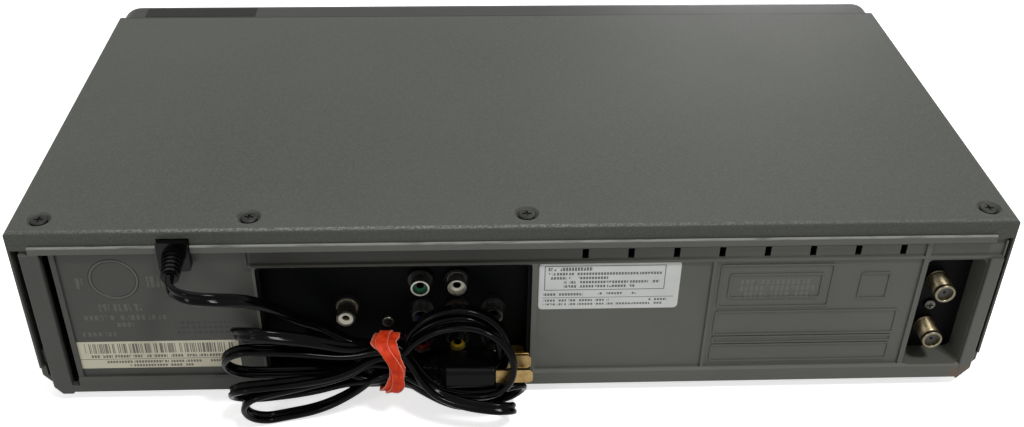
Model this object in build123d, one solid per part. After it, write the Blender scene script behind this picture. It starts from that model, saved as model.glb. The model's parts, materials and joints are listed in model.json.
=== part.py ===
"""Cassette recorder and disc player in one case, built as separate pieces in millimetres.

Z is up with the feet on zero, the front faces minus Y and the jacks face plus Y.
"""
import math
import os

from build123d import *

os.makedirs("parts", exist_ok=True)

# Case
body_width = 435.0
body_depth = 236.3
body_height = 95.0
foot_height = 5.0
foot_radius = 11.0
foot_edge = 1.5
foot_inset_side = 42.0
foot_inset_rear = 30.0
sheet = 1.0
wall = 2.5
thin_wall = 1.5
clearance = 0.3
running_gap = 0.06
overrun = 2.0
cover_bend = 1.6
panel_depth = 20.0
panel_edge = 8.0
panel_corner = 10.0
panel_rise = 1.0

# Chassis skirt and tongue under the cover's sides
skirt_height = 15.0
skirt_slope = 10.0
skirt_inset = 8.0
tongue_height = 8.0

# Rear wall, measured up from the chassis underside
rail_reach = 1.3
rail_low = 79.1
rail_high = 82.9
rail_floor = 1.3
rail_inset = 8.7
field_inset = 4.3
field_inset_right = 2.4
post_width = 8.6
column_width = 6.2
post_reach = 2.3
groove_width = 3.6
rib_width = 2.3
rib_reach = 1.1
base_rail_high = 9.0
base_rail_reach = 2.2
band_rib_low = 69.9
band_rib_high = 71.2
vent_low = 71.7
vent_high = 77.0
vent_width = 2.8
vent_corner = 0.4
vent_pitch = 20.05
vent_count = 8
vent_first = -29.4
band_left = 118.3
divider_inset = 95.1
frame_line = 0.8
frame_reach = 0.5
frames = (
    (41.0, 92.0, 43.5, 67.5),
    (45.4, 87.6, 48.6, 62.4),
    (8.0, 92.0, 27.3, 41.4),
    (8.0, 92.0, 22.6, 26.6),
    (8.0, 92.0, 11.5, 21.9),
    (15.1, 28.6, 47.5, 62.3),
)
frame_corner = 1.6
slot_corner = 1.3

# Cover screws
screw_inset = 12.4
screw_inset_right = 10.1
screw_middles = (115.8, -3.9)
screw_back = 10.4
screw_hole = 1.8
screw_shank = 1.5
screw_head = 3.8
screw_head_high = 1.5
screw_length = 9.0
dimple_radius = 5.4
dimple_flat = 4.1
dimple_depth = 1.6
boss_side = 10.0
boss_drop = 14.0

# Jack recess
jack_left = 114.8
jack_right = -6.4
jack_low = 9.6
jack_high = 70.0
jack_corner = 3.0
jack_depth = 8.0
jack_flange = 3.5
jack_plate_thick = 2.0
phono_columns = (43.1, 26.8, 10.5)
phono_rows = (57.4, 41.0, 24.6)
phono_row_count = (2, 3, 3)
phono_radius = 4.15
phono_bore = 3.4
phono_length = 9.0
phono_step = 0.25
collar_radius = 5.6
collar_high = 3.0
insert_drop = 2.4
coax_drop = 0.4
contact_radius = 1.7
coax_x = 76.5
coax_z = 42.8
coax_length = 11.4
svideo_x = 91.0
svideo_z = 24.3
svideo_radius = 5.2
svideo_bore = 4.2
svideo_outer = 5.9
svideo_length = 4.0
svideo_pin = 0.5
svideo_pin_ring = 2.4
jack_screw_places = ((58.6, 32.4), (58.6, 16.0))
jack_screw_head = 2.9
jack_screw_high = 1.6
ground_x = -0.2
ground_z = 14.4
ground_wide = 11.6
ground_high = 9.0
ground_lip = 5.0
ground_sheet = 0.8
ground_boss = 3.4

# Aerial connectors and tuner
tuner_width = 26.9
tuner_low = 8.6
tuner_high = 68.4
tuner_depth = 12.0
tuner_body_depth = 42.0
aerial_inset = 14.9
aerial_rows = (49.2, 22.2)
aerial_screw = 34.4
aerial_radius = 4.76
aerial_length = 12.5
aerial_bore = 3.6
aerial_nut = 5.6
aerial_nut_high = 1.6

# Strain relief
relief_inset = 70.2
relief_z = 78.5
relief_width = 13.5
relief_high = 14.8
relief_plate = 4.4
relief_neck = 10.0
relief_inner = 3.0
boot_long = 14.5
boot_thick = 5.0
boot_thin = 3.7
boot_ribs = 6
boot_groove = 0.7
boot_droop = 1.0
boot_swing = 5.0

# Power cord: a round tube stands for the flat two-core cord
cord_width = 3.6
cord_radius = cord_width / 2
lead_start = 4.4
lead_route = (
    (143.6, 143.1, 83.3),
    (140.1, 146.3, 83.5),
    (135.7, 148.1, 83.3),
    (130.9, 148.1, 82.7),
    (124.6, 147.1, 81.4),
    (118.8, 144.6, 79.2),
    (113.4, 140.6, 75.4),
    (105.4, 133.6, 66.6),
    (96.0, 124.8, 52.4),
    (88.4, 118.7, 44.4),
    (81.0, 117.6, 37.2),
)
bend_share = 0.45

# Hank of cord: loops wound flat in two layers and drawn in at the waist
hank_x = 57.0
hank_y = 125.8
hank_lean = 10.0
hank_turns = 5
hank_inner = 13.0
hank_step = 5.4
waist_inner = 4.4
waist_step = 4.9
hank_left = 54.0
hank_right = 39.0
layer_step = 5.4
hank_start_rise = 6.0
plug_rise = -0.3
plug_level = 2.7
floor_gap = 0.1
sample_step = 1.0

# Plug and rubber band
plug_boot_long = 13.0
plug_boot_thick = 3.6
plug_boot_wide = 4.8
plug_long = 22.0
plug_ribs = 4
plug_wide = 19.0
plug_thick = 11.0
plug_corner = 3.5
blade_long = 16.5
blade_wide = 6.3
blade_thick = 1.5
blade_apart = 12.7
blade_root = 8.0
blade_edge = 1.2
plug_start = 12.0
band_wide = 8.0
band_thick = 1.2
band_corner = 4.0
band_room = 1.0

# Front panel openings and the cassette door
deck_inset = 113.5
slot_half = 96.0
slot_low = 55.2
slot_high = 87.6
rim = 2.5
rim_depth = 6.5
door_thick = 2.0
door_sink = 0.7
door_gap = 0.4
door_axis_back = 3.5
door_axis_drop = 2.0
door_pin = 1.2
door_pin_long = 2.2
door_barrel = 1.8
door_groove = 0.6
tray_inset = 99.5
fascia_wide = 146.0
fascia_high = 20.0
fascia_z = 70.0
fascia_thick = 2.6
fascia_sink = 0.3
fascia_corner = 3.0
fascia_gap = 0.5
window_x = 5.0
window_z = 31.0
window_wide = 90.0
window_high = 28.0
window_corner = 3.0
window_flange = 3.0
window_flange_thick = 1.2
deck_bosses = ((-96.0, 40.0), (44.0, 40.0))
tray_bosses = ((-48.0, 44.0), (27.0, 40.0))
panel_boss = 3.0

# Buttons: name, place from the middle of the deck or the tray, height, size and corner
deck_buttons = (
    ("power_button", -86.0, 31.0, 17.0, 17.0, 8.0),
    ("eject_button", -56.0, 31.0, 19.0, 9.0, 3.0),
    ("rewind_button", -32.0, 31.0, 19.0, 9.0, 3.0),
    ("play_button", -8.0, 31.0, 19.0, 9.0, 3.0),
    ("forward_button", 16.0, 31.0, 19.0, 9.0, 3.0),
    ("record_button", 40.0, 31.0, 9.0, 9.0, 4.0),
)
tray_buttons = (
    ("tray_button", -42.0, 31.0, 19.0, 9.0, 3.0),
    ("disc_play_button", -16.0, 31.0, 19.0, 9.0, 3.0),
    ("disc_stop_button", 10.0, 31.0, 19.0, 9.0, 3.0),
)
button_sink = 0.3
button_lip = 1.5
button_lip_thick = 1.2
button_stem = 2.0
button_travel = 1.0
button_edge = 0.5
switch_side = 6.0
switch_high = 2.5
key_board_back = 12.0
board_thick = 1.6
tube_wide = 80.0
tube_high = 22.0
tube_thick = 6.5

# Disc loader, measured back from the front face or from the disc's middle
tray_half = 65.0
tray_back = 168.75
tray_top = 72.0
tray_deck = 2.0
tray_skirt = 2.0
tray_under = 66.3
disc_back = 72.75
disc_radius = 61.0
disc_floor = 69.3
disc_floor_thick = 2.0
small_disc_radius = 41.0
small_disc_drop = 0.7
tray_hole_half = 18.0
tray_hole_rear = 14.0
tray_travel = 138.0
gear_module = 1.0
gear_teeth = 20
gear_out = 40.0
gear_back = 23.75
gear_low = 62.9
gear_high = 65.8
gear_pin = 1.5
gear_hub = 3.5
gear_backlash = 0.2
rack_low = 62.6
rack_back = 5.0
frame_half = 71.0
frame_wall = 3.0
frame_start = 18.75
frame_back = 180.75
frame_low = 46.0
frame_floor = 2.5
frame_high = 76.0
frame_opening = 34.0
ledge_reach = 6.0
ledge_thick = 1.5
traverse_half = 30.0
traverse_ahead = 26.0
traverse_behind = 92.0
traverse_low = 51.0
traverse_thick = 2.0
traverse_lug = 6.0
traverse_lift = 8.0
sled_hole_half = 20.0
motor_radius = 12.0
motor_high = 6.3
table_radius = 13.0
table_low = 59.8
table_high = 62.3
table_hub = 7.3
table_hub_high = 2.2
spindle_radius = 1.5
rod_radius = 1.5
rod_spread = 23.0
rod_z = 55.6
rod_start = 12.0
rod_end = 86.0
rod_block = 5.0
sled_start = 16.0
sled_long = 30.0
sled_half = 26.0
sled_low = 53.6
sled_high = 58.4
lens_back = 11.0
lens_side = 12.0
lens_high = 61.0
lens_radius = 3.2
sled_travel = 34.0
bridge_half = 18.0
bridge_thick = 1.2
clamp_radius = 14.0
clamp_neck = 9.4
clamp_flange = 12.0
clamp_low = 73.7
clamp_plate = 1.8
clamp_top = 1.4

# Tape deck, measured back from the front face and across from its middle
deck_half = 102.0
deck_start = 26.75
deck_long = 144.0
deck_low = 22.0
deck_thick = 1.5
drum_back = 180.75
drum_radius = 31.0
drum_low_high = 18.0
drum_up_high = 17.0
drum_gap = 0.4
drum_shaft = 3.0
drum_tilt = 5.0
drum_tongue = 36.0
drum_tongue_long = 45.0
reel_spread = 46.0
reel_back = 90.75
reel_radius = 20.0
reel_low = 25.0
reel_disc = 3.0
reel_hub = 8.5
reel_high = 42.0
reel_pin = 2.0
reel_fin = 1.2
reel_fin_reach = 2.0
capstan_out = 48.0
capstan_back = 156.75
capstan_radius = 1.5
capstan_top = 50.0
flywheel_radius = 24.0
flywheel_low = 14.4
flywheel_high = 19.8
capstan_collar = 4.0
capstan_bearing_high = 4.0
pinch_out = 74.0
pinch_back = 140.75
pinch_arm_long = 27.3
pinch_open = 182.5
pinch_swing = 20.0
pinch_radius = 6.0
pinch_low = 33.0
pinch_high = 47.0
pinch_arm_thick = 3.0
pinch_arm_half = 3.5
pinch_pin = 1.5
guide_start_x = 35.0
guide_back = 140.75
guide_shift = 6.0
guide_run = 52.0
guide_radius = 3.0
guide_low = 25.0
guide_base_radius = 6.0
guide_base_high = 5.0
guide_high = 48.0
guide_slot = 2.4
guide_neck = 2.0
guide_foot = 4.5
guide_foot_thick = 1.2
holder_front_gap = 1.0
holder_long = 72.0
holder_half = 96.2
holder_sheet = 1.2
holder_low = 54.0
holder_high = 87.2
holder_open = 36.0
holder_travel = 55.0
holder_drop = 27.0
holder_pin = 1.4
holder_pins = ((21.25, 64.0), (59.25, 76.0))
holder_slot_gap = 0.1
rail_side_gap = 0.6
rail_sheet = 1.2
rail_start = 22.75
rail_long = 120.0
rail_top = 89.0

# Boards and power parts
pillar_radius = 4.0
pillar_gap = 1.0
deck_pillar_half = 95.0
deck_pillars_back = (32.75, 164.75)
loader_pillar_half = 66.0
loader_pillars_back = (32.75, 174.75)
main_low = 10.0
main_left_inset = 27.5
main_right_inset = 21.5
main_start = 62.75
main_rear_inset = 16.95
disc_board_low = 28.0
disc_board_half = 54.0
disc_board_start = 78.75
disc_board_long = 90.0
disc_board_inset = 6.0
standoff_radius = 3.0
transformer_inset = 67.5
transformer_rear = 30.95
transformer_wide = 34.0
transformer_deep = 28.0
transformer_high = 30.0
transformer_core = 12.0
winding_radius = 2.0
capacitors = ((109.5, 30.95, 9.0, 30.0), (133.5, 28.95, 6.5, 24.0), (151.5, 28.95, 5.0, 18.0))
capacitor_edge = 0.8
floor_vent_long = 34.0
floor_vent_wide = 3.0
floor_vent_pitch = 8.0
floor_vent_count = 12
floor_vent_inset = 155.5
floor_vent_rear = 30.95

# Places that follow from the sizes above
half = body_width / 2
y_front = -body_depth / 2
y_rail = body_depth / 2
y_cover = y_rail - rail_reach
y_seam = y_front + panel_depth
z_base = foot_height
z_floor = z_base + wall
z_top = body_height
z_under = z_top - sheet
z_skirt = z_base + skirt_height
y_wall = y_cover - sheet - clearance
y_inner = y_wall - wall
z_rail = z_base + rail_low
z_flange = z_rail + rail_floor + clearance
y_screw = y_cover - screw_back
y_jack = y_wall - jack_depth
y_tuner = y_wall - tuner_depth
z_relief = z_base + relief_z
y_panel_in = y_front + wall
y_key_board = y_panel_in + key_board_back
rail_half = half - rail_inset
field_left = half - field_inset
field_right = field_inset_right - half
post_inner = field_left - post_width
screw_x = (half - screw_inset, *screw_middles, screw_inset_right - half)
tuner_right = field_right + column_width
tuner_left = tuner_right + tuner_width
aerial_x = tuner_right + aerial_inset
divider = tuner_left + divider_inset
relief_x = half - relief_inset
deck_x = deck_inset - half
tray_x = half - tray_inset
disc_y = y_front + disc_back
tray_rear = y_front + tray_back
gear_x = tray_x + gear_out
gear_y = y_front + gear_back
gear_pitch_radius = gear_module * gear_teeth / 2
frame_front = y_front + frame_start
frame_rear = y_front + frame_back
traverse_front = disc_y - traverse_ahead
traverse_rear = disc_y + traverse_behind
rod_front = disc_y + rod_start
rod_rear = disc_y + rod_end
sled_front = disc_y + sled_start
sled_rear = sled_front + sled_long
lens_y = sled_front + lens_back
deck_front = y_front + deck_start
deck_back = deck_front + deck_long
drum_y = y_front + drum_back
drum_tongue_back = deck_back + drum_tongue_long
reel_y = y_front + reel_back
capstan_x = deck_x + capstan_out
capstan_y = y_front + capstan_back
pinch_x = deck_x + pinch_out
pinch_y = y_front + pinch_back
guide_start_y = y_front + guide_back
holder_front = y_front + rim_depth + holder_front_gap
rail_front = y_front + rail_start
rail_rear = rail_front + rail_long
main_left = main_left_inset - half
main_right = half - main_right_inset
main_front = y_front + main_start
main_rear = y_wall - main_rear_inset
disc_board_left = tray_x - disc_board_half
disc_board_right = tray_x + disc_board_half
disc_board_front = y_front + disc_board_start
disc_board_rear = disc_board_front + disc_board_long
transformer_x = half - transformer_inset
transformer_y = y_wall - transformer_rear
phono_places = [
    (x, z) for z, count in zip(phono_rows, phono_row_count) for x in phono_columns[:count]
]
buttons = [(name, deck_x + x, *rest) for name, x, *rest in deck_buttons]
buttons += [(name, tray_x + x, *rest) for name, x, *rest in tray_buttons]
panel_bosses = [(deck_x + x, z) for x, z in deck_bosses]
panel_bosses += [(tray_x + x, z) for x, z in tray_bosses]


def block(x0, x1, y0, y1, z0, z1):
    """A box between two corners."""
    middle = Pos((x0 + x1) / 2, (y0 + y1) / 2, (z0 + z1) / 2)
    return middle * Box(x1 - x0, y1 - y0, z1 - z0)


def post(x, y, z0, z1, radius):
    """An upright round bar."""
    return Pos(x, y, z0) * extrude(Circle(radius), z1 - z0)


def bar_y(x, z, y0, y1, radius):
    """A round bar running front to back."""
    return Pos(x, y1, z) * Rot(90, 0, 0) * extrude(Circle(radius), y1 - y0)


def bar_x(y, z, x0, x1, radius):
    """A round bar running side to side."""
    return Pos(x0, y, z) * Rot(0, 90, 0) * extrude(Circle(radius), x1 - x0)


def pad_y(x, z, width, height, corner, y0, y1):
    """A plate with round corners whose face looks front or back."""
    outline = RectangleRounded(width, height, corner)
    return Pos(x, y1, z) * Rot(90, 0, 0) * extrude(outline, y1 - y0)


def pad_z(x, y, width, depth, corner, z0, z1):
    """A plate with round corners lying flat."""
    outline = RectangleRounded(width, depth, corner)
    return Pos(x, y, z0) * extrude(outline, z1 - z0)


def turned(points):
    """A solid turned round Z from radius and height points."""
    return revolve(Plane.XZ * make_face(Polyline(*points, close=True)), Axis.Z)


def screw(head, head_high, shank, length):
    """A pan head screw pointing down, with the head's underside on zero and a cross recess."""
    body = post(0, 0, 0, head_high, head)
    body = fillet(body.edges().group_by(Axis.Z)[-1], head_high / 2)
    arm = head / 4
    cross = block(-head / 2, head / 2, -arm / 2, arm / 2, head_high / 2, head_high + overrun)
    body = body - cross - Rot(0, 0, 90) * cross
    return body + post(0, 0, -length, 0, shank)


def make_cover():
    outer = block(-half, half, y_seam, y_cover, z_skirt, z_top)
    bends = outer.faces().sort_by(Axis.Z)[-1].edges().sort_by(Axis.Y)[1:]
    outer = fillet(bends, cover_bend)
    inner = block(
        -half + sheet, half - sheet, y_seam - overrun, y_cover - sheet, z_skirt - overrun, z_under
    )
    bends = inner.faces().sort_by(Axis.Z)[-1].edges().sort_by(Axis.Y)[1:]
    inner = fillet(bends, cover_bend - sheet)
    rear = block(
        -half + sheet, half - sheet, y_cover - wall, y_cover + overrun, z_skirt - overrun, z_flange
    )
    notch_half = relief_width / 2 + clearance
    notch_top = z_relief + relief_high / 2 + clearance
    notch = block(
        relief_x - notch_half, relief_x + notch_half, y_cover - wall, y_cover + overrun, z_skirt, notch_top
    )
    cover = outer - inner - rear - notch
    seat = z_top - dimple_depth
    profile = [
        (screw_hole, seat), (dimple_flat, seat), (dimple_radius, z_top), (dimple_radius, z_under),
        (dimple_flat, seat - sheet), (screw_hole, seat - sheet),
    ]
    for x in screw_x:
        cover = cover - post(x, y_screw, z_under - overrun, z_top + overrun, dimple_radius)
        cover = cover + Pos(x, y_screw, 0) * turned(profile)
    return cover


def make_screws():
    one = screw(screw_head, screw_head_high, screw_shank, screw_length)
    return [Pos(x, y_screw, z_top - dimple_depth) * one for x in screw_x]


def chassis_pan():
    """The floor with its sloping skirts, and the tongues inside the cover."""
    top = z_skirt
    outer = Polyline(
        (-half, top), (-half, z_base + skirt_slope), (-half + skirt_inset, z_base),
        (half - skirt_inset, z_base), (half, z_base + skirt_slope), (half, top), close=True,
    )
    low = half - skirt_inset - wall / 2
    inner = Polyline(
        (-half + wall, top + overrun), (-half + wall, z_base + skirt_slope), (-low, z_floor),
        (low, z_floor), (half - wall, z_base + skirt_slope), (half - wall, top + overrun), close=True,
    )
    length = y_wall - y_seam
    pan = Pos(0, y_wall, 0) * extrude(Plane.XZ * make_face(outer), length)
    pan = pan - Pos(0, y_wall + overrun, 0) * extrude(Plane.XZ * make_face(inner), length + overrun * 2)
    tongue_out = half - sheet - clearance
    tongue_in = half - wall - clearance
    for side in (-1, 1):
        x0, x1 = sorted((side * tongue_in, side * tongue_out))
        pan = pan + block(x0, x1, y_seam, y_inner, z_skirt - wall, z_skirt + tongue_height)
    return pan


def skirt_wedge(side):
    """What lies outside the sloping skirt at one lower corner of the rear wall."""
    inside = half - skirt_inset
    outside = half + overrun
    slope_top = z_base + skirt_slope
    points = [
        (inside, z_base), (half, slope_top), (outside, slope_top), (outside, z_base - overrun),
        (inside, z_base - overrun),
    ]
    outline = make_face(Polyline(*[(side * x, z) for x, z in points], close=True))
    length = y_rail - y_inner + overrun * 2
    return Pos(0, y_rail + overrun, 0) * extrude(Plane.XZ * outline, length)


def rear_wall():
    """The rear wall with its rail, posts, ribs and marked fields, before its openings."""
    plate = block(field_right, field_left, y_inner, y_wall, z_base, z_under - cover_bend)
    low = block(
        -half + skirt_inset, half - skirt_inset, y_inner, y_wall + base_rail_reach, z_base,
        z_base + base_rail_high,
    )
    low = chamfer(low.edges().filter_by(Axis.X).group_by(Axis.Y)[-1], base_rail_reach / 2)
    rail_up = block(
        -rail_half, rail_half, y_cover + clearance, y_rail, z_rail, z_base + rail_high
    )
    rail_up = fillet(rail_up.edges().filter_by(Axis.X).group_by(Axis.Y)[-1], rail_reach / 5)
    rail_out = block(-rail_half, rail_half, y_inner, y_cover + clearance * 2, z_rail, z_rail + rail_floor)
    plate = plate + [low, rail_up, rail_out]
    y_post = y_wall + post_reach
    uprights = [
        block(post_inner, field_left, y_inner, y_post, z_base, z_rail),
        block(field_right, tuner_right - clearance, y_inner, y_post, z_base, z_base + band_rib_low),
    ]
    for upright in uprights:
        plate = plate + fillet(upright.edges().filter_by(Axis.Z).group_by(Axis.Y)[-1], post_reach / 3)
    y_rib = y_wall + rib_reach
    right = tuner_left + rib_width
    groove_left = post_inner - groove_width
    low_z = z_base + base_rail_high
    ribs = [
        block(field_right, jack_left + wall, y_inner, y_rib, z_base + band_rib_low, z_base + band_rib_high),
        block(field_right, field_right + frame_line, y_inner, y_rib, z_base + band_rib_low, z_rail),
        block(band_left - frame_line, band_left, y_inner, y_rib, z_base + band_rib_low, z_rail),
        block(tuner_left, right, y_inner, y_rib, low_z, z_rail),
        block(divider - frame_line, divider + frame_line, y_inner, y_rib, low_z, z_base + band_rib_low),
        block(jack_right - wall, jack_right, y_inner, y_rib, low_z, z_base + band_rib_low),
        block(groove_left - rib_width, groove_left, y_inner, y_rib, low_z, z_rail),
    ]
    for x0, x1, z0, z1 in frames:
        middle_x = tuner_left + (x0 + x1) / 2
        middle_z = z_base + (z0 + z1) / 2
        outer = pad_y(middle_x, middle_z, x1 - x0, z1 - z0, frame_corner, y_inner, y_wall + frame_reach)
        inset = frame_line * 2
        inner = pad_y(
            middle_x, middle_z, x1 - x0 - inset, z1 - z0 - inset, frame_corner - frame_line,
            y_wall, y_wall + wall,
        )
        ribs.append(outer - inner)
    return plate + ribs - [skirt_wedge(side) for side in (-1, 1)]


def opening_y(left, right, low, high, corner, grow, y0, y1):
    """A plate between rear wall places, grown by the same amount all round."""
    middle = (left + right) / 2
    return pad_y(
        middle, z_base + (low + high) / 2, left - right + grow * 2, high - low + grow * 2, corner, y0, y1
    )


def make_chassis():
    body = chassis_pan() + rear_wall()
    tunnel = opening_y(
        tuner_left, tuner_right, tuner_low, tuner_high, jack_corner, thin_wall, y_tuner, y_wall
    )
    supports = [tunnel]
    boss_in = y_inner - boss_side
    for x in screw_x:
        supports.append(
            block(
                x - boss_side / 2, x + boss_side / 2, boss_in, y_inner + wall / 2, z_under - boss_drop,
                z_under - dimple_depth,
            )
        )
    pillars = [
        (deck_x + side * deck_pillar_half, y_front + y, deck_low)
        for side in (-1, 1)
        for y in deck_pillars_back
    ]
    pillars += [
        (tray_x + side * loader_pillar_half, y_front + y, frame_low)
        for side in (-1, 1)
        for y in loader_pillars_back
    ]
    for x, y, top in pillars:
        supports.append(post(x, y, z_base, top, pillar_radius))
    for x, y in disc_board_corners():
        supports.append(post(x, y, z_base, disc_board_low, standoff_radius))
    for x, y in main_board_rests():
        supports.append(post(x, y, z_base, main_low, standoff_radius))
    body = body + supports
    cuts = [
        opening_y(
            jack_left, jack_right, jack_low, jack_high, jack_corner, 0, y_inner - overrun, y_wall + wall
        ),
        opening_y(
            tuner_left, tuner_right, tuner_low, tuner_high, jack_corner, 0, y_tuner - overrun,
            y_wall + wall,
        ),
        block(
            post_inner - groove_width, post_inner, y_inner - overrun, y_wall + wall, z_base + wall * 2,
            z_rail - rail_floor,
        ),
    ]
    for index in range(vent_count):
        x = vent_first - index * vent_pitch
        cuts.append(
            pad_y(
                x, z_base + (vent_low + vent_high) / 2, vent_width, vent_high - vent_low, vent_corner,
                y_inner - overrun, y_wall + overrun,
            )
        )
    neck = relief_neck / 2 + clearance
    plate = relief_width / 2 + clearance
    relief_low = z_relief - relief_high / 2 - clearance
    cuts.append(
        block(
            relief_x - neck, relief_x + neck, y_inner - overrun, y_wall + overrun,
            z_relief - relief_neck / 2 - clearance, z_top,
        )
    )
    cuts.append(block(relief_x - plate, relief_x + plate, y_wall, y_rail + overrun, relief_low, z_top))
    for x in screw_x:
        cuts.append(post(x, y_screw, z_under - boss_drop + wall, z_top, screw_shank + running_gap))
    for index in range(floor_vent_count):
        x = half - floor_vent_inset + index * floor_vent_pitch
        cuts.append(
            pad_z(
                x, y_wall - floor_vent_rear, floor_vent_wide, floor_vent_long, slot_corner, z_base - overrun,
                z_floor + overrun,
            )
        )
    return body - cuts


def make_feet():
    profile = [
        (0, 0), (foot_radius - foot_edge, 0), (foot_radius, foot_edge), (foot_radius, foot_height),
        (0, foot_height),
    ]
    one = turned(profile)
    x = half - foot_inset_side
    rear = y_wall - foot_inset_rear
    front = y_seam + foot_inset_rear
    return [Pos(side * x, y, 0) * one for side in (-1, 1) for y in (front, rear)]


def rounded_shell(grow):
    """The front panel's outside, or its inside when it shrinks."""
    front = y_front - grow
    low = z_base + panel_rise - grow
    body = block(-half - grow, half + grow, front, y_seam, low, z_top + grow)
    upright = body.edges().filter_by(Axis.Z).group_by(Axis.Y)[0]
    body = fillet(upright, panel_corner + grow)
    face = body.faces().sort_by(Axis.Y)[0]
    top = face.edges().sort_by(Axis.Z)[-1]
    return fillet([top], panel_edge + grow)


def make_front_panel():
    inner = rounded_shell(-wall)
    inner = inner + Pos(0, wall, 0) * inner
    body = rounded_shell(0) - inner
    slot_z = (slot_low + slot_high) / 2
    slot_tall = slot_high - slot_low
    adds = [
        pad_y(
            deck_x, slot_z, slot_half * 2 + rim * 2, slot_tall + rim * 2, rim, y_front + wall / 2,
            y_front + rim_depth,
        )
    ]
    for x, z in panel_bosses:
        adds.append(bar_y(x, z, y_front + wall / 2, y_key_board, panel_boss))
    body = body + adds
    grow = fascia_gap * 2
    axis_y = y_front + door_axis_back
    axis_z = slot_high - door_axis_drop
    hole = slot_half + door_pin_long + clearance
    cuts = [
        pad_y(
            deck_x, slot_z, slot_half * 2, slot_tall, slot_corner, y_front - overrun, y_front + panel_depth,
        ),
        pad_y(
            tray_x, fascia_z, fascia_wide + grow, fascia_high + grow, fascia_corner + fascia_gap,
            y_front - overrun, y_front + panel_depth,
        ),
        pad_y(
            window_x, window_z, window_wide, window_high, window_corner, y_front - overrun,
            y_front + wall * 2,
        ),
        bar_x(axis_y, axis_z, deck_x - hole, deck_x + hole, door_pin + running_gap),
    ]
    for name, x, z, width, height, corner in buttons:
        cuts.append(
            pad_y(
                x, z, width + clearance * 2, height + clearance * 2, corner + clearance,
                y_front - overrun, y_front + wall * 2,
            )
        )
    return body - cuts


def make_door():
    y0 = y_front + door_sink
    y1 = y0 + door_thick
    axis_y = y_front + door_axis_back
    axis_z = slot_high - door_axis_drop
    low = slot_low + door_gap
    high = slot_high - door_gap
    reach = slot_half - door_gap
    plate = pad_y(deck_x, (low + high) / 2, reach * 2, high - low, slot_corner, y0, y1)
    inset = reach - slot_corner
    barrel = bar_x(axis_y, axis_z, deck_x - inset, deck_x + inset, door_barrel)
    web = block(deck_x - inset, deck_x + inset, y1 - door_thick / 2, axis_y, axis_z - door_barrel, axis_z)
    body = plate + barrel + web
    groove_z = low + (high - low) / 4
    body = body - bar_x(y0, groove_z, deck_x - reach - overrun, deck_x + reach + overrun, door_groove)
    pin_reach = slot_half + door_pin_long
    return body + bar_x(axis_y, axis_z, deck_x - pin_reach, deck_x + pin_reach, door_pin)


def make_window():
    body = pad_y(
        window_x, window_z, window_wide - clearance, window_high - clearance, window_corner,
        y_front + clearance,
        y_panel_in + window_flange_thick,
    )
    flange = pad_y(
        window_x, window_z, window_wide + window_flange * 2, window_high + window_flange * 2, window_corner,
        y_panel_in, y_panel_in + window_flange_thick,
    )
    return body + flange


def make_tube():
    return fillet(
        block(
            window_x - tube_wide / 2, window_x + tube_wide / 2, y_key_board - tube_thick, y_key_board,
            window_z - tube_high / 2, window_z + tube_high / 2,
        ).edges().filter_by(Axis.Y),
        window_corner / 2,
    )


def stem_end():
    """The place where a button's stem ends, clear of its switch."""
    return y_key_board - switch_high - button_travel - clearance


def make_button(x, z, width, height, corner):
    y0 = y_front + button_sink
    y_lip = y_panel_in + clearance
    cap = pad_y(x, z, width, height, corner, y0, y_lip + button_lip_thick)
    cap = fillet(cap.edges().group_by(Axis.Y)[0], button_edge)
    lip = pad_y(
        x, z, width + button_lip * 2, height + button_lip * 2, corner + button_lip, y_lip,
        y_lip + button_lip_thick,
    )
    return cap + lip + bar_y(x, z, y_lip, stem_end(), button_stem)


def make_key_board():
    places = [x for name, x, z, width, height, corner in buttons]
    x0 = min(places) - window_flange * 4
    x1 = panel_bosses[-1][0] + panel_boss * 2
    body = block(
        x0, x1, y_key_board, y_key_board + board_thick,
        window_z - window_high / 2, window_z + window_high / 2,
    )
    side = switch_side / 2
    switches = []
    for name, x, z, width, height, corner in buttons:
        base = block(x - side, x + side, y_key_board - switch_high, y_key_board, z - side, z + side)
        switches.append(base)
    return body + switches


def make_jack_plate():
    plate = opening_y(
        jack_left, jack_right, jack_low, jack_high, jack_corner, -clearance, y_jack - jack_plate_thick,
        y_wall - clearance,
    )
    hollow = opening_y(
        jack_left, jack_right, jack_low, jack_high, jack_corner - thin_wall, -clearance - thin_wall, y_jack,
        y_wall + overrun,
    )
    flange = opening_y(
        jack_left, jack_right, jack_low, jack_high, jack_corner, jack_flange, y_inner - thin_wall, y_inner
    )
    core = opening_y(
        jack_left, jack_right, jack_low, jack_high, jack_corner - thin_wall, -clearance - thin_wall,
        y_jack, y_wall,
    )
    boss = bar_y(ground_x, z_base + ground_z, y_jack, y_wall, ground_boss)
    return plate - hollow + (flange - core) + boss


def jack_list():
    """Place, length and insert depth of every phono jack, the longer coaxial one last."""
    jacks = [(x, z_base + z, phono_length, insert_drop) for x, z in phono_places]
    return jacks + [(coax_x, z_base + coax_z, coax_length, coax_drop)]


def make_phono_shells():
    shells = []
    for x, z, length, drop in jack_list():
        end = y_jack + length
        root = bar_y(x, z, y_jack, y_jack + collar_high, phono_radius - phono_step)
        sleeve = root + bar_y(x, z, y_jack + collar_high, end, phono_radius)
        shells.append(sleeve - bar_y(x, z, y_jack, end, phono_bore))
    return shells


def make_phono_inserts():
    inserts = []
    for x, z, length, drop in jack_list():
        collar = bar_y(x, z, y_jack, y_jack + collar_high, collar_radius)
        inserts.append(collar - bar_y(x, z, y_jack, y_jack + collar_high, phono_radius - phono_step))
        top = y_jack + length - drop
        core = bar_y(x, z, y_jack, top, phono_bore)
        inserts.append(core - bar_y(x, z, y_jack + thin_wall, top, contact_radius))
    return inserts


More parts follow.
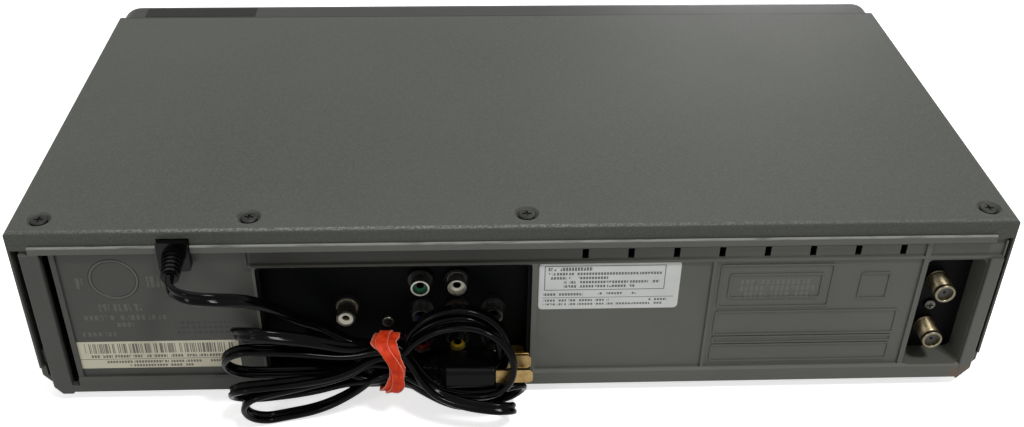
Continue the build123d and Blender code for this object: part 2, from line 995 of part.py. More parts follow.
def make_svideo():
    z = z_base + svideo_z
    end = y_jack + svideo_length
    base = bar_y(svideo_x, z, y_jack, end, svideo_outer)
    base = base - bar_y(svideo_x, z, y_jack + thin_wall, end, svideo_radius)
    ring = bar_y(svideo_x, z, y_jack + thin_wall, end, svideo_bore)
    for turn in (45, 135, 225, 315):
        dx = svideo_pin_ring * math.cos(math.radians(turn))
        dz = svideo_pin_ring * math.sin(math.radians(turn))
        ring = ring - bar_y(svideo_x + dx, z + dz, y_jack + svideo_length / 2, end, svideo_pin)
    return base + ring


def rear_screw(x, y, z):
    """A small pan head standing on a face that looks back."""
    body = bar_y(x, z, y, y + jack_screw_high, jack_screw_head)
    body = fillet(body.edges().group_by(Axis.Y)[-1], jack_screw_high / 2)
    arm = jack_screw_head / 4
    long_arm = jack_screw_head / 2
    y_cut = y + jack_screw_high / 2
    y_end = y + jack_screw_high + overrun
    body = body - block(x - long_arm, x + long_arm, y_cut, y_end, z - arm / 2, z + arm / 2)
    return body - block(x - arm / 2, x + arm / 2, y_cut, y_end, z - long_arm, z + long_arm)


def make_rear_screws():
    screws = [rear_screw(x, y_jack, z_base + z) for x, z in jack_screw_places]
    screws.append(rear_screw(ground_x, y_wall + ground_sheet, z_base + ground_z))
    screws.append(rear_screw(aerial_x, y_tuner, z_base + aerial_screw))
    return screws


def make_ground_bracket():
    """A plate on the wall whose top is bent in over its boss."""
    z = z_base + ground_z
    top = z + ground_high / 2
    y_end = y_wall + ground_sheet
    plate = pad_y(ground_x, z, ground_wide, ground_high, ground_sheet, y_wall, y_end)
    left = ground_x - ground_boss
    right = ground_x + ground_boss
    return plate + block(left, right, y_wall - ground_lip, y_end, top - ground_sheet, top)


def make_tuner():
    middle_x = (tuner_left + tuner_right) / 2
    width = tuner_left - tuner_right + thin_wall * 2
    z0 = main_low + board_thick
    z1 = z_base + tuner_high + thin_wall
    body = block(
        middle_x - width / 2, middle_x + width / 2, y_tuner - tuner_body_depth, y_tuner, z0, z1
    )
    return fillet(body.edges().filter_by(Axis.Y), thin_wall / 2)


def make_aerials():
    connectors = []
    for row in aerial_rows:
        z = z_base + row
        end = y_tuner + aerial_length
        body = bar_y(aerial_x, z, y_tuner, end, aerial_radius)
        body = chamfer(body.edges().group_by(Axis.Y)[-1], thin_wall / 3)
        body = body - bar_y(aerial_x, z, end - insert_drop, end, aerial_bore)
        outline = RegularPolygon(aerial_nut, 6)
        nut = Pos(aerial_x, y_tuner + aerial_nut_high, z) * Rot(90, 0, 0) * extrude(outline, aerial_nut_high)
        body = body + nut
        body = body - bar_y(aerial_x, z, y_tuner + aerial_nut_high, end, svideo_pin * 2)
        connectors.append(body)
    return connectors


def boot_profile():
    """Radius and height points of the ribbed boot, thick end at zero."""
    points = [(0, -relief_plate / 2), (boot_thick, -relief_plate / 2)]
    pitch = boot_long / boot_ribs
    for index in range(boot_ribs):
        start = index * pitch
        radius = boot_thick + (boot_thin - boot_thick) * index / boot_ribs
        points.append((radius, start))
        points.append((radius, start + pitch * 3 / 5))
        points.append((radius - boot_groove, start + pitch * 3 / 5))
        points.append((radius - boot_groove, start + pitch))
    points.append((boot_thin, boot_long))
    points.append((0, boot_long))
    return points


def boot_place():
    """Where the boot starts on the relief's outer face, turned to look back and a little down."""
    turn = Rot(0, 0, boot_swing) * Rot(-90 - boot_droop, 0, 0)
    return Pos(relief_x, y_wall + relief_plate, z_relief) * turn


def boot_tip():
    """The boot's free end and the way it points."""
    droop = math.radians(boot_droop)
    swing = math.radians(boot_swing)
    level = math.cos(droop)
    way = (-math.sin(swing) * level, math.cos(swing) * level, -math.sin(droop))
    tip = (
        relief_x + boot_long * way[0],
        y_wall + relief_plate + boot_long * way[1],
        z_relief + boot_long * way[2],
    )
    return tip, way


def make_relief():
    face = pad_y(relief_x, z_relief, relief_width, relief_high, slot_corner, y_wall, y_wall + relief_plate)
    neck = pad_y(relief_x, z_relief, relief_neck, relief_neck, slot_corner, y_inner - relief_inner, y_wall)
    inner = pad_y(
        relief_x, z_relief, relief_width, relief_neck, slot_corner,
        y_inner - relief_inner, y_inner - clearance,
    )
    return face + neck + inner + boot_place() * turned(boot_profile())


def hank_point(across, up, out):
    """A place in the hank: across to the right seen from behind, up its lean, out from the wall."""
    lean = math.radians(hank_lean)
    return (
        hank_x - across,
        hank_y - up * math.sin(lean) + out * math.cos(lean),
        hank_z() + up * math.cos(lean) + out * math.sin(lean),
    )


def hank_z():
    """The hank's middle height, so that its lowest loop stands just off the floor."""
    lean = math.radians(hank_lean)
    outermost = hank_inner + (hank_turns - 1) * hank_step / 2
    return outermost * math.cos(lean) + cord_radius + floor_gap


def hank_way(across, up, out):
    """A direction in the hank's own frame, turned into the part's frame."""
    lean = math.radians(hank_lean)
    return (-across, -up * math.sin(lean) + out * math.cos(lean), up * math.cos(lean) + out * math.sin(lean))


def hank_stations():
    """Places and directions along the hank, from its start at the waist to the plug."""
    ends = hank_turns * 2
    order = [min(index, ends - 1 - index) for index in range(ends)]
    layer = [0 if index < hank_turns else layer_step for index in range(ends)]
    start = hank_start_rise
    stations = [((-cord_width, start, -layer_step), (1, 0, 0)), ((0, start, -layer_step), (1, 0, 0))]
    for index in range(ends):
        right = 1 if index % 2 == 0 else -1
        centre = hank_right if right > 0 else hank_left
        radius = hank_inner + order[index] * hank_step / 2
        out = layer[index]
        stations.append(((right * centre, right * radius, out), (right, 0, 0)))
        stations.append(((right * (centre + radius), 0, out), (0, -right, 0)))
        stations.append(((right * centre, -right * radius, out), (-right, 0, 0)))
        if index < ends - 1:
            middle = (order[index] + order[index + 1]) / 2
            rise = waist_inner + middle * waist_step / 2
            level = (layer[index] + layer[index + 1]) / 2
            stations.append(((0, -right * rise, level), (-right, 0, 0)))
    stations.append(((0, plug_rise, plug_level), (1, 0, 0)))
    stations.append(((plug_start, plug_rise, plug_level), (1, 0, 0)))
    return stations


def biarc(start, start_way, end, end_way):
    """Two arcs, tangent to each other, between two places with given directions."""
    p0, t0 = Vector(*start), Vector(*start_way).normalized()
    p1, t1 = Vector(*end), Vector(*end_way).normalized()
    chord = p1 - p0
    if chord.cross(t0).length < running_gap and chord.cross(t1).length < running_gap:
        return [Line(p0, p1)]
    both = chord.dot(t0 + t1)
    spread = 2 * (1 - t0.dot(t1))
    if spread < running_gap / 1000:
        reach = chord.dot(chord) / (4 * chord.dot(t0))
    else:
        reach = (math.sqrt(both * both + spread * chord.dot(chord)) - both) / spread
    middle = (p0 + p1 + (t0 - t1) * reach) / 2
    way = (p1 - t1 * reach - p0 - t0 * reach).normalized()
    return [TangentArc(p0, middle, tangent=t0), TangentArc(middle, p1, tangent=way)]


def hank_edges():
    edges = []
    stations = [(hank_point(*place), hank_way(*way)) for place, way in hank_stations()]
    for first, second in zip(stations, stations[1:]):
        edges += biarc(*first, *second)
    return edges


def least_self_gap(edges):
    """The least gap between the tube and itself, measured on points along its middle."""
    points = []
    walked = 0
    for edge in edges:
        count = max(2, round(edge.length / sample_step))
        for index in range(count):
            place = edge @ (index / count)
            points.append((walked + edge.length * index / count, place.X, place.Y, place.Z))
        walked += edge.length
    least = walked
    near = hank_inner * 2
    for index, (run, x, y, z) in enumerate(points):
        for other, ox, oy, oz in points[index + 1:]:
            if other - run > near:
                gap = math.dist((x, y, z), (ox, oy, oz))
                least = min(least, gap)
    return least - cord_width


def tube_along(path):
    start = Plane(origin=path @ 0, z_dir=path % 0)
    return sweep(start * Circle(cord_radius), path=path)


def make_hank():
    edges = hank_edges()
    path = Wire([edge.edge() for edge in edges])
    tube = tube_along(path)
    length = sum(edge.length for edge in edges)
    radii = [edge.edge().radius for edge in edges if edge.edge().geom_type == GeomType.CIRCLE]
    print("hank length", round(length, 1), "volume share", tube.volume / (math.pi * cord_radius**2 * length))
    print("hank least radius", round(min(radii), 2), "least self gap", round(least_self_gap(edges), 3))
    return tube


def lead_points():
    tip, way = boot_tip()
    end = hank_point(-cord_width, hank_start_rise, -layer_step)
    before = hank_point(-cord_width * 4, hank_start_rise, -layer_step)
    first = tuple(place + part * lead_start for place, part in zip(tip, way))
    return [tip, first, *lead_route, before, end]


def make_lead():
    points = [Vector(*place) for place in lead_points()]
    radii = []
    for first, corner, last in zip(points, points[1:], points[2:]):
        turn = math.radians((corner - first).get_angle(last - corner))
        shorter = min((corner - first).length, (last - corner).length)
        radii.append(bend_share * shorter / math.tan(turn / 2))
    path = FilletPolyline(*points, radius=radii)
    tube = tube_along(path)
    share = tube.volume / (math.pi * cord_radius**2 * path.length)
    print("lead length", round(path.length, 1), "volume share", share, "radii", [round(r, 1) for r in radii])
    return tube


def plug_frame():
    """The plug's own frame: Z along the cord towards the blades, X out from the wall."""
    origin = hank_point(plug_start, plug_rise, plug_level)
    return Plane(origin=origin, x_dir=hank_way(0, 0, 1), z_dir=hank_way(1, 0, 0))


def plug_boot(shrink):
    """The plug's tapered boot, drawn in all round by the same amount."""
    inset = shrink * 2
    sections = [
        (0, plug_boot_wide, plug_boot_thick + cord_radius),
        (plug_boot_long * 3 / 5, plug_boot_wide * 2, plug_thick * 3 / 4),
        (plug_boot_long, plug_wide, plug_thick),
    ]
    outlines = []
    for height, wide, thick in sections:
        outline = RectangleRounded(wide - inset, thick - inset, cord_radius / 2)
        outlines.append(Plane.XY.offset(height) * outline)
    return loft(outlines)


def make_plug():
    """A plug in the middle of the right hand loops, with a ribbed boot towards the cord."""
    boot = plug_boot(0)
    core = plug_boot(boot_groove)
    pitch = plug_boot_long / (plug_ribs + 1)
    for index in range(plug_ribs):
        slab = extrude(Rectangle(plug_wide * 2, plug_wide * 2), pitch / 2)
        boot = boot - (Pos(0, 0, pitch * (index + 1 / 2)) * slab - core)
    outline = RectangleRounded(plug_wide, plug_thick, plug_corner)
    body = Pos(0, 0, plug_boot_long) * extrude(outline, plug_long)
    body = fillet(body.edges().group_by(Axis.Z)[-1], plug_corner / 3)
    whole = boot + body
    face = plug_boot_long + plug_long
    for side in (-1, 1):
        x = side * blade_apart / 2
        whole = whole - block(
            x - blade_thick / 2, x + blade_thick / 2, -blade_wide / 2, blade_wide / 2, face - blade_root,
            face + overrun,
        )
    return plug_frame() * whole


def make_blades():
    face = plug_boot_long + plug_long
    blades = []
    for side in (-1, 1):
        x = side * blade_apart / 2
        blade = block(
            x - blade_thick / 2, x + blade_thick / 2, -blade_wide / 2, blade_wide / 2, face - blade_root,
            face + blade_long,
        )
        tip = blade.edges().filter_by(Axis.X).group_by(Axis.Z)[-1]
        blades.append(plug_frame() * chamfer(tip, blade_edge))
    return blades


def make_band():
    """A stretched ring round every strand at the waist."""
    room = cord_radius + band_room
    rise = waist_inner + (hank_turns - 1) * waist_step / 2 + room
    reach = layer_step + room
    inner = RectangleRounded(reach * 2, rise * 2, band_corner)
    outer = offset(inner, band_thick)
    ring = extrude(outer - inner, band_wide)
    frame = Plane(
        origin=hank_point(band_wide / 2, 0, 0), x_dir=hank_way(0, 0, 1), z_dir=hank_way(-1, 0, 0)
    )
    return frame * ring


def involute(angle):
    return math.tan(angle) - angle


def gear_outline():
    """Points round a toothed wheel with involute flanks, one tooth pointing along X."""
    pressure = math.radians(20)
    base = gear_pitch_radius * math.cos(pressure)
    root = gear_pitch_radius - gear_module * 5 / 4
    tip = gear_pitch_radius + gear_module
    half_tooth = math.pi / 2 / gear_teeth - gear_backlash / 2 / gear_pitch_radius
    radii = [root] + [base + (tip - base) * share / 4 for share in range(5)]
    points = []
    for tooth in range(gear_teeth):
        middle = 2 * math.pi * tooth / gear_teeth
        flank = []
        for radius in radii:
            angle = math.acos(min(1, base / radius))
            flank.append((radius, half_tooth + involute(pressure) - involute(angle)))
        for radius, spread in flank:
            points.append((radius * math.cos(middle - spread), radius * math.sin(middle - spread)))
        for radius, spread in reversed(flank):
            points.append((radius * math.cos(middle + spread), radius * math.sin(middle + spread)))
    return points


def make_tray_gear():
    wheel = extrude(make_face(Polyline(*gear_outline(), close=True)), gear_high - gear_low)
    wheel = Pos(gear_x, gear_y, gear_low) * wheel
    hub = post(gear_x, gear_y, frame_low + frame_floor + clearance, gear_low, gear_hub)
    bore = post(gear_x, gear_y, frame_low, gear_high + overrun, gear_pin + running_gap)
    return wheel + hub - bore


def make_rack(front, rear):
    """A straight toothed bar whose spaces take the wheel's teeth."""
    pitch = math.pi * gear_module
    line = gear_x + gear_pitch_radius
    tip = line - gear_module
    root = line + gear_module * 5 / 4
    slope = math.tan(math.radians(20))
    half_tooth = pitch / 4 - gear_backlash / 2
    first = math.ceil((front - gear_y) / pitch)
    last = math.floor((rear - gear_y) / pitch) - 1
    points = [(root + rack_back, rear), (root + rack_back, front), (root, front)]
    for index in range(first, last + 1):
        middle = gear_y + (index + 1 / 2) * pitch
        wide = half_tooth + (root - line) * slope
        narrow = half_tooth - (line - tip) * slope
        if middle - wide > front and middle + wide < rear:
            points += [(root, middle - wide), (tip, middle - narrow)]
            points += [(tip, middle + narrow), (root, middle + wide)]
    points.append((root, rear))
    bar = extrude(make_face(Polyline(*points, close=True)), tray_top - tray_deck - rack_low)
    return Pos(0, 0, rack_low) * bar


def make_tray():
    front = y_front + fascia_sink + fascia_thick
    deck_z = tray_top - tray_deck
    middle_y = (front + tray_rear) / 2
    deck = pad_z(tray_x, middle_y, tray_half * 2, tray_rear - front, slot_corner, deck_z, tray_top)
    deck = deck - post(tray_x, disc_y, deck_z, tray_top, disc_radius)
    cup = post(tray_x, disc_y, disc_floor - disc_floor_thick, tray_top, disc_radius + thin_wall)
    cup = cup - post(tray_x, disc_y, disc_floor, tray_top, disc_radius)
    cup = cup - post(tray_x, disc_y, disc_floor - small_disc_drop, tray_top, small_disc_radius)
    sides = []
    for side in (-1, 1):
        x0, x1 = sorted((tray_x + side * tray_half, tray_x + side * (tray_half - tray_skirt)))
        sides.append(block(x0, x1, front, tray_rear, tray_under, tray_top - tray_deck / 2))
    lip = block(tray_x - tray_half, tray_x + tray_half, front, front + tray_skirt, tray_under, tray_top)
    body = deck + [cup, lip, *sides, make_rack(front, tray_rear)]
    hole_rear = tray_rear - tray_hole_rear
    hole_front = disc_y - tray_hole_half
    hole = pad_z(
        tray_x, (hole_front + hole_rear) / 2, tray_hole_half * 2, hole_rear - hole_front,
        tray_hole_half - thin_wall, rack_low, tray_top + overrun,
    )
    return body - hole


def make_fascia():
    y0 = y_front + fascia_sink
    body = pad_y(tray_x, fascia_z, fascia_wide, fascia_high, fascia_corner, y0, y0 + fascia_thick)
    return fillet(body.edges().group_by(Axis.Y)[0], button_edge)


def make_loader_frame():
    z0 = frame_low
    z1 = frame_low + frame_floor
    x0 = tray_x - frame_half
    x1 = tray_x + frame_half
    body = block(x0, x1, frame_front, frame_rear, z0, z1)
    for side in (-1, 1):
        a, b = sorted((tray_x + side * frame_half, tray_x + side * (frame_half - frame_wall)))
        body = body + block(a, b, frame_front, frame_rear, z0, frame_high)
        inner = tray_x + side * (frame_half - frame_wall)
        shelf = tray_under - clearance
        a, b = sorted((inner, inner - side * ledge_reach))
        body = body + block(a, b, frame_front, frame_rear, shelf - ledge_thick, shelf)
        a, b = sorted((inner, inner - side * ledge_reach * 2 / 3))
        lip = tray_top + clearance
        body = body + block(a, b, frame_front, frame_rear, lip, lip + ledge_thick)
    body = body + block(x0, x1, frame_rear - frame_wall, frame_rear, z0, tray_under - thin_wall)
    body = body - pad_z(
        tray_x, (traverse_front + traverse_rear) / 2, frame_opening * 2,
        traverse_rear - traverse_front + traverse_lug * 2, traverse_lug, z0 - overrun, z1 + overrun,
    )
    return body + post(gear_x, gear_y, z0, gear_high, gear_pin)


def make_traverse():
    z0 = traverse_low
    z1 = traverse_low + traverse_thick
    middle_y = (traverse_front + traverse_rear) / 2
    body = pad_z(
        tray_x, middle_y, traverse_half * 2, traverse_rear - traverse_front, traverse_lug, z0, z1
    )
    body = body - block(
        tray_x - sled_hole_half, tray_x + sled_hole_half,
        rod_front + rod_block / 2, rod_rear - rod_block / 2,
        z0 - overrun, z1 + overrun,
    )
    body = body + post(tray_x, disc_y, z0, z1 + motor_high, motor_radius)
    body = body - post(tray_x, disc_y, z0 - overrun, z1 + motor_high + overrun, spindle_radius + running_gap)
    reach = frame_opening + traverse_lug
    stand = frame_low + frame_floor + clearance
    for side in (-1, 1):
        for y in (traverse_front + traverse_lug, traverse_rear - traverse_lug):
            a, b = sorted((tray_x + side * (traverse_half - thin_wall), tray_x + side * reach))
            body = body + block(a, b, y - traverse_lug / 2, y + traverse_lug / 2, z0, z1)
            a, b = sorted((tray_x + side * (reach - traverse_lug / 2), tray_x + side * reach))
            body = body + block(a, b, y - traverse_lug / 2, y + traverse_lug / 2, stand, z1)
        for y in (rod_front, rod_rear):
            x = tray_x + side * rod_spread
            holder = block(
                x - rod_block / 2, x + rod_block / 2, y - rod_block / 2, y + rod_block / 2, z0,
                rod_z + rod_block / 2,
            )
            body = body + holder
    for side in (-1, 1):
        x = tray_x + side * rod_spread
        body = body - bar_y(x, rod_z, rod_front - rod_block / 2, rod_rear + rod_block / 2, rod_radius)
    return body


def make_rods():
    return [
        bar_y(
            tray_x + side * rod_spread, rod_z, rod_front - rod_block / 2, rod_rear + rod_block / 2,
            rod_radius,
        )
        for side in (-1, 1)
    ]


def make_turntable():
    shaft_low = traverse_low + running_gap
    profile = [
        (0, shaft_low), (spindle_radius, shaft_low), (spindle_radius, table_low), (table_radius, table_low),
        (table_radius, table_high), (table_hub, table_high),
        (table_hub - thin_wall, table_high + table_hub_high),
        (0, table_high + table_hub_high),
    ]
    return Pos(tray_x, disc_y, 0) * turned(profile)


def make_sled():
    body = block(
        tray_x - sled_half, tray_x + sled_half, sled_front, sled_rear, sled_low, sled_high
    )
    body = fillet(body.edges().filter_by(Axis.Z), thin_wall)
    lens = pad_z(tray_x, lens_y, lens_side, lens_side, slot_corner, sled_high, lens_high - thin_wall / 2)
    body = body + lens + post(tray_x, lens_y, sled_high, lens_high, lens_radius)
    for side in (-1, 1):
        x = tray_x + side * rod_spread
        body = body - bar_y(x, rod_z, sled_front - overrun, sled_rear + overrun, rod_radius + running_gap)
    return body


def make_bridge():
    body = block(
        tray_x - frame_half, tray_x + frame_half, disc_y - bridge_half, disc_y + bridge_half, frame_high,
        frame_high + bridge_thick,
    )
    body = fillet(body.edges().filter_by(Axis.Z), fascia_corner)
    return body - post(tray_x, disc_y, frame_high - overrun, frame_high + overrun, clamp_neck + clearance)


def make_clamp():
    plate = clamp_low + clamp_plate
    flange = frame_high + bridge_thick + clearance
    profile = [
        (0, clamp_low), (clamp_radius, clamp_low), (clamp_radius, plate),
        (clamp_neck, plate), (clamp_neck, flange),
        (clamp_flange, flange), (clamp_flange, flange + clamp_top), (0, flange + clamp_top),
    ]
    return Pos(tray_x, disc_y, 0) * turned(profile)


def guide_line(side):
    """Start, run and direction of a tape guide; side is minus for supply and plus for take-up."""
    start = Vector(deck_x + side * guide_start_x, guide_start_y, 0)
    run = Vector(side * guide_shift, guide_run, 0)
    return start, run


def make_deck():
    z0 = deck_low
    z1 = deck_low + deck_thick
    body = block(deck_x - deck_half, deck_x + deck_half, deck_front, deck_back, z0, z1)
    tongue = block(deck_x - drum_tongue, deck_x + drum_tongue, deck_back, drum_tongue_back, z0, z1)
    body = body + tongue
    body = fillet(body.edges().filter_by(Axis.Z), thin_wall)
    for side in (-1, 1):
        body = body + post(deck_x + side * reel_spread, reel_y, z0, reel_high, reel_pin)
    body = body + post(pinch_x, pinch_y, z0, pinch_low + pinch_arm_thick, pinch_pin)
    body = body + post(capstan_x, capstan_y, z0, z1 + capstan_bearing_high, capstan_collar)
    body = body - post(capstan_x, capstan_y, z0 - overrun, capstan_top, capstan_radius + running_gap)
    for side in (-1, 1):
        start, run = guide_line(side)
        slot = SlotCenterToCenter(run.length, guide_slot * 2)
        turn = math.degrees(math.atan2(run.Y, run.X))
        middle = start + run / 2
        place = Pos(middle.X, middle.Y, z0 - overrun) * Rot(0, 0, turn)
        body = body - place * extrude(slot, deck_thick + overrun * 2)
    return body


def drum_place():
    return Pos(deck_x, drum_y, deck_low + deck_thick) * Rot(0, drum_tilt, 0)


def make_lower_drum():
    lift = drum_radius * math.sin(math.radians(drum_tilt)) + clearance
    top = lift + drum_low_high
    tilted = drum_place() * post(0, 0, lift, top, drum_radius)
    shaft = drum_place() * post(0, 0, lift, top + drum_gap + drum_up_high, drum_shaft)
    foot = post(deck_x, drum_y, deck_low + deck_thick, deck_low + deck_thick + lift * 2, drum_radius / 2)
    return tilted + shaft + foot


def make_upper_drum():
    lift = drum_radius * math.sin(math.radians(drum_tilt)) + clearance
    low = lift + drum_low_high + drum_gap
    body = post(0, 0, low, low + drum_up_high, drum_radius)
    body = fillet(body.edges().group_by(Axis.Z)[-1], thin_wall)
    body = body - post(0, 0, low - overrun, low + drum_up_high + overrun, drum_shaft + running_gap)
    return drum_place() * body


def make_reel(side):
    x = deck_x + side * reel_spread
    disc_top = reel_low + reel_disc
    profile = [
        (reel_pin + running_gap, reel_low), (reel_radius, reel_low),
        (reel_radius, disc_top), (reel_hub, disc_top),
        (reel_hub, reel_high - thin_wall), (reel_hub - thin_wall, reel_high),
        (reel_pin + running_gap, reel_high),
    ]
    body = turned(profile)
    for turn in (0, 120, 240):
        fin = block(
            reel_hub - thin_wall, reel_hub + reel_fin_reach, -reel_fin / 2, reel_fin / 2, disc_top,
            reel_high - thin_wall,
        )
        body = body + Rot(0, 0, turn) * fin
    stand = turned(
        [
            (reel_pin + running_gap, deck_low + deck_thick + running_gap),
            (reel_pin * 2, deck_low + deck_thick + running_gap),
            (reel_pin * 2, reel_low),
            (reel_pin + running_gap, reel_low),
        ]
    )
    return Pos(x, reel_y, 0) * (body + stand)


def make_capstan():
    body = post(capstan_x, capstan_y, flywheel_low, capstan_top, capstan_radius)
    wheel = post(capstan_x, capstan_y, flywheel_low, flywheel_high, flywheel_radius)
    wheel = fillet(wheel.edges(), thin_wall / 2)
    collar = post(capstan_x, capstan_y, flywheel_high, deck_low - clearance, capstan_collar)
    return body + wheel + collar


def pinch_roller_place():
    turn = math.radians(pinch_open)
    return pinch_x + pinch_arm_long * math.cos(turn), pinch_y + pinch_arm_long * math.sin(turn)


def make_pinch_arm():
    x, y = pinch_roller_place()
    z0 = pinch_low
    z1 = pinch_low + pinch_arm_thick
    slot = SlotCenterToCenter(pinch_arm_long, pinch_arm_half * 2)
    arm = Pos((x + pinch_x) / 2, (y + pinch_y) / 2, z0) * Rot(0, 0, pinch_open) * extrude(slot, z1 - z0)
    stand = post(pinch_x, pinch_y, deck_low + deck_thick + running_gap, z1, pinch_arm_half)
    arm = arm + stand + post(x, y, z1, pinch_high, pinch_pin)
    return arm - post(pinch_x, pinch_y, deck_low, z1 + overrun, pinch_pin + running_gap)


def make_pinch_roller():
    x, y = pinch_roller_place()
    low = pinch_low + pinch_arm_thick + clearance
    body = post(x, y, low, pinch_high, pinch_radius)
    body = fillet(body.edges(), button_edge)
    return body - post(x, y, low - overrun, pinch_high + overrun, pinch_pin + running_gap)


def make_guide(side):
    start, run = guide_line(side)
    z1 = deck_low + deck_thick
    profile = [
        (0, deck_low - clearance - guide_foot_thick), (guide_foot, deck_low - clearance - guide_foot_thick),
        (guide_foot, deck_low - clearance), (guide_neck, deck_low - clearance), (guide_neck, z1 + clearance),
        (guide_base_radius, z1 + clearance), (guide_base_radius, guide_low + guide_base_high),
        (guide_radius, guide_low + guide_base_high), (guide_radius, guide_high - thin_wall),
        (guide_radius + thin_wall, guide_high - thin_wall),
        (guide_radius + thin_wall, guide_high), (0, guide_high),
    ]
    return Pos(start.X, start.Y, 0) * turned(profile)


def holder_span():
    return holder_front, holder_front + holder_long


def make_holder():
    front, rear = holder_span()
    outer = holder_half + holder_sheet
    body = block(deck_x - outer, deck_x + outer, front, rear, holder_low, holder_low + holder_sheet)
    for side in (-1, 1):
        a, b = sorted((deck_x + side * holder_half, deck_x + side * outer))
        body = body + block(a, b, front, rear, holder_low, holder_high)
        pin_end = outer + rail_side_gap + rail_sheet
        a, b = sorted((deck_x + side * holder_half, deck_x + side * pin_end))
        for back, z in holder_pins:
            body = body + bar_x(holder_front + back, z, a, b, holder_pin)
    body = body + block(
        deck_x - outer, deck_x + outer, front + holder_open, rear, holder_high - holder_sheet, holder_high
    )
    for side in (-1, 1):
        body = body - pad_z(
            deck_x + side * reel_spread, rear - holder_open / 2, holder_open, holder_open, fascia_corner,
            holder_low - overrun, holder_low + overrun,
        )
    return body


def make_holder_rails():
    rails = []
    outer = holder_half + holder_sheet
    gap = holder_pin + holder_slot_gap
    for side in (-1, 1):
        near = outer + rail_side_gap
        a, b = sorted((deck_x + side * near, deck_x + side * (near + rail_sheet)))
        rail = block(a, b, rail_front, rail_rear, deck_low + deck_thick, rail_top)
        for back, z in holder_pins:
            y = holder_front + back
            end = y + holder_travel
            rail = rail - block(a - overrun, b + overrun, y - gap, end + gap, z - gap, z + gap)
            rail = rail - block(
                a - overrun, b + overrun, end - gap, end + gap, z - holder_drop - gap, z + gap
            )
        rails.append(rail)
    return rails


def disc_board_corners():
    return [
        (x, y)
        for x in (disc_board_left + disc_board_inset, disc_board_right - disc_board_inset)
        for y in (disc_board_front + disc_board_inset, disc_board_rear - disc_board_inset)
    ]


def main_board_rests():
    inset = disc_board_inset * 2
    return [
        (x, y)
        for x in (main_left + inset, main_right - inset)
        for y in (main_front + inset, main_rear - inset)
    ]


def make_main_board():
    body = block(main_left, main_right, main_front, main_rear, main_low, main_low + board_thick)
    holes = []
    for side in (-1, 1):
        holes.append((deck_x + side * deck_pillar_half, y_front + deck_pillars_back[-1], pillar_radius))
        holes.append((tray_x + side * loader_pillar_half, y_front + loader_pillars_back[-1], pillar_radius))
    for x, y in disc_board_corners():
        holes.append((x, y, standoff_radius))
    cuts = [post(x, y, main_low - overrun, main_low + overrun * 2, r + pillar_gap) for x, y, r in holes]
    return body - cuts


def make_disc_board():
    body = block(
        disc_board_left, disc_board_right, disc_board_front, disc_board_rear, disc_board_low,
        disc_board_low + board_thick,
    )
    chip = transformer_core
    z1 = disc_board_low + board_thick
    middle_y = (disc_board_front + disc_board_rear) / 2
    return body + block(tray_x - chip, tray_x + chip, middle_y - chip, middle_y + chip, z1, z1 + board_thick)


def make_transformer():
    z0 = main_low + board_thick
    x0 = transformer_x - transformer_wide / 2
    x1 = transformer_x + transformer_wide / 2
    y0 = transformer_y - transformer_deep / 2
    y1 = transformer_y + transformer_deep / 2
    coil = block(
        x0 + transformer_core / 2, x1 - transformer_core / 2, y0, y1, z0, z0 + transformer_high
    )
    coil = fillet(coil.edges().filter_by(Axis.Z), winding_radius * 2)
    core = block(
        x0, x1, transformer_y - transformer_core / 2, transformer_y + transformer_core / 2,
        z0, z0 + transformer_high,
    )
    return coil + core


def make_capacitors():
    cans = []
    z0 = main_low + board_thick
    for inset, rear, radius, high in capacitors:
        can = post(half - inset, y_wall - rear, z0, z0 + high, radius)
        cans.append(fillet(can.edges().group_by(Axis.Z)[-1], capacitor_edge))
    return cans


pieces = {
    "chassis": make_chassis(),
    "top_cover": make_cover(),
    "front_panel": make_front_panel(),
    "cover_screws": make_screws(),
    "rubber_feet": make_feet(),
    "jack_plate": make_jack_plate(),
    "phono_shells": make_phono_shells(),
    "phono_inserts": make_phono_inserts(),
    "svideo_socket": make_svideo(),
    "rear_screws": make_rear_screws(),
    "ground_bracket": make_ground_bracket(),
    "tuner_box": make_tuner(),
    "aerial_connectors": make_aerials(),
    "strain_relief": make_relief(),
    "power_cord_lead": make_lead(),
    "power_cord_hank": make_hank(),
    "power_plug": make_plug(),
    "plug_blades": make_blades(),
    "cord_band": make_band(),
    "cassette_door": make_door(),
    "display_window": make_window(),
    "display_tube": make_tube(),
    "key_board": make_key_board(),
    "disc_tray": make_tray(),
    "tray_fascia": make_fascia(),
    "loader_frame": make_loader_frame(),
    "tray_gear": make_tray_gear(),
    "traverse": make_traverse(),
    "sled_rods": make_rods(),
    "turntable": make_turntable(),
    "pickup_sled": make_sled(),
    "clamp_bridge": make_bridge(),
    "clamp_disc": make_clamp(),
    "deck_plate": make_deck(),
    "lower_drum": make_lower_drum(),
    "upper_drum": make_upper_drum(),
    "supply_reel": make_reel(-1),
    "takeup_reel": make_reel(1),
    "capstan": make_capstan(),
    "pinch_arm": make_pinch_arm(),
    "pinch_roller": make_pinch_roller(),
    "supply_guide": make_guide(-1),
    "takeup_guide": make_guide(1),
    "cassette_holder": make_holder(),
    "holder_rails": make_holder_rails(),
    "main_board": make_main_board(),
    "disc_board": make_disc_board(),
    "power_transformer": make_transformer(),
    "filter_capacitors": make_capacitors(),
}
for name, x, z, width, height, corner in buttons:
    pieces[name] = make_button(x, z, width, height, corner)

for name, piece in pieces.items():
    if isinstance(piece, list):
        solids = [solid for part in piece for solid in part.solids()]
        piece = Compound(children=solids)
    export_step(piece, f"parts/{name}.step")
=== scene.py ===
"""Looks of a cassette recorder and disc player in one case, seen from behind, in metres."""
import json
import math

import bmesh
import bpy
from mathutils import Matrix, Vector, noise


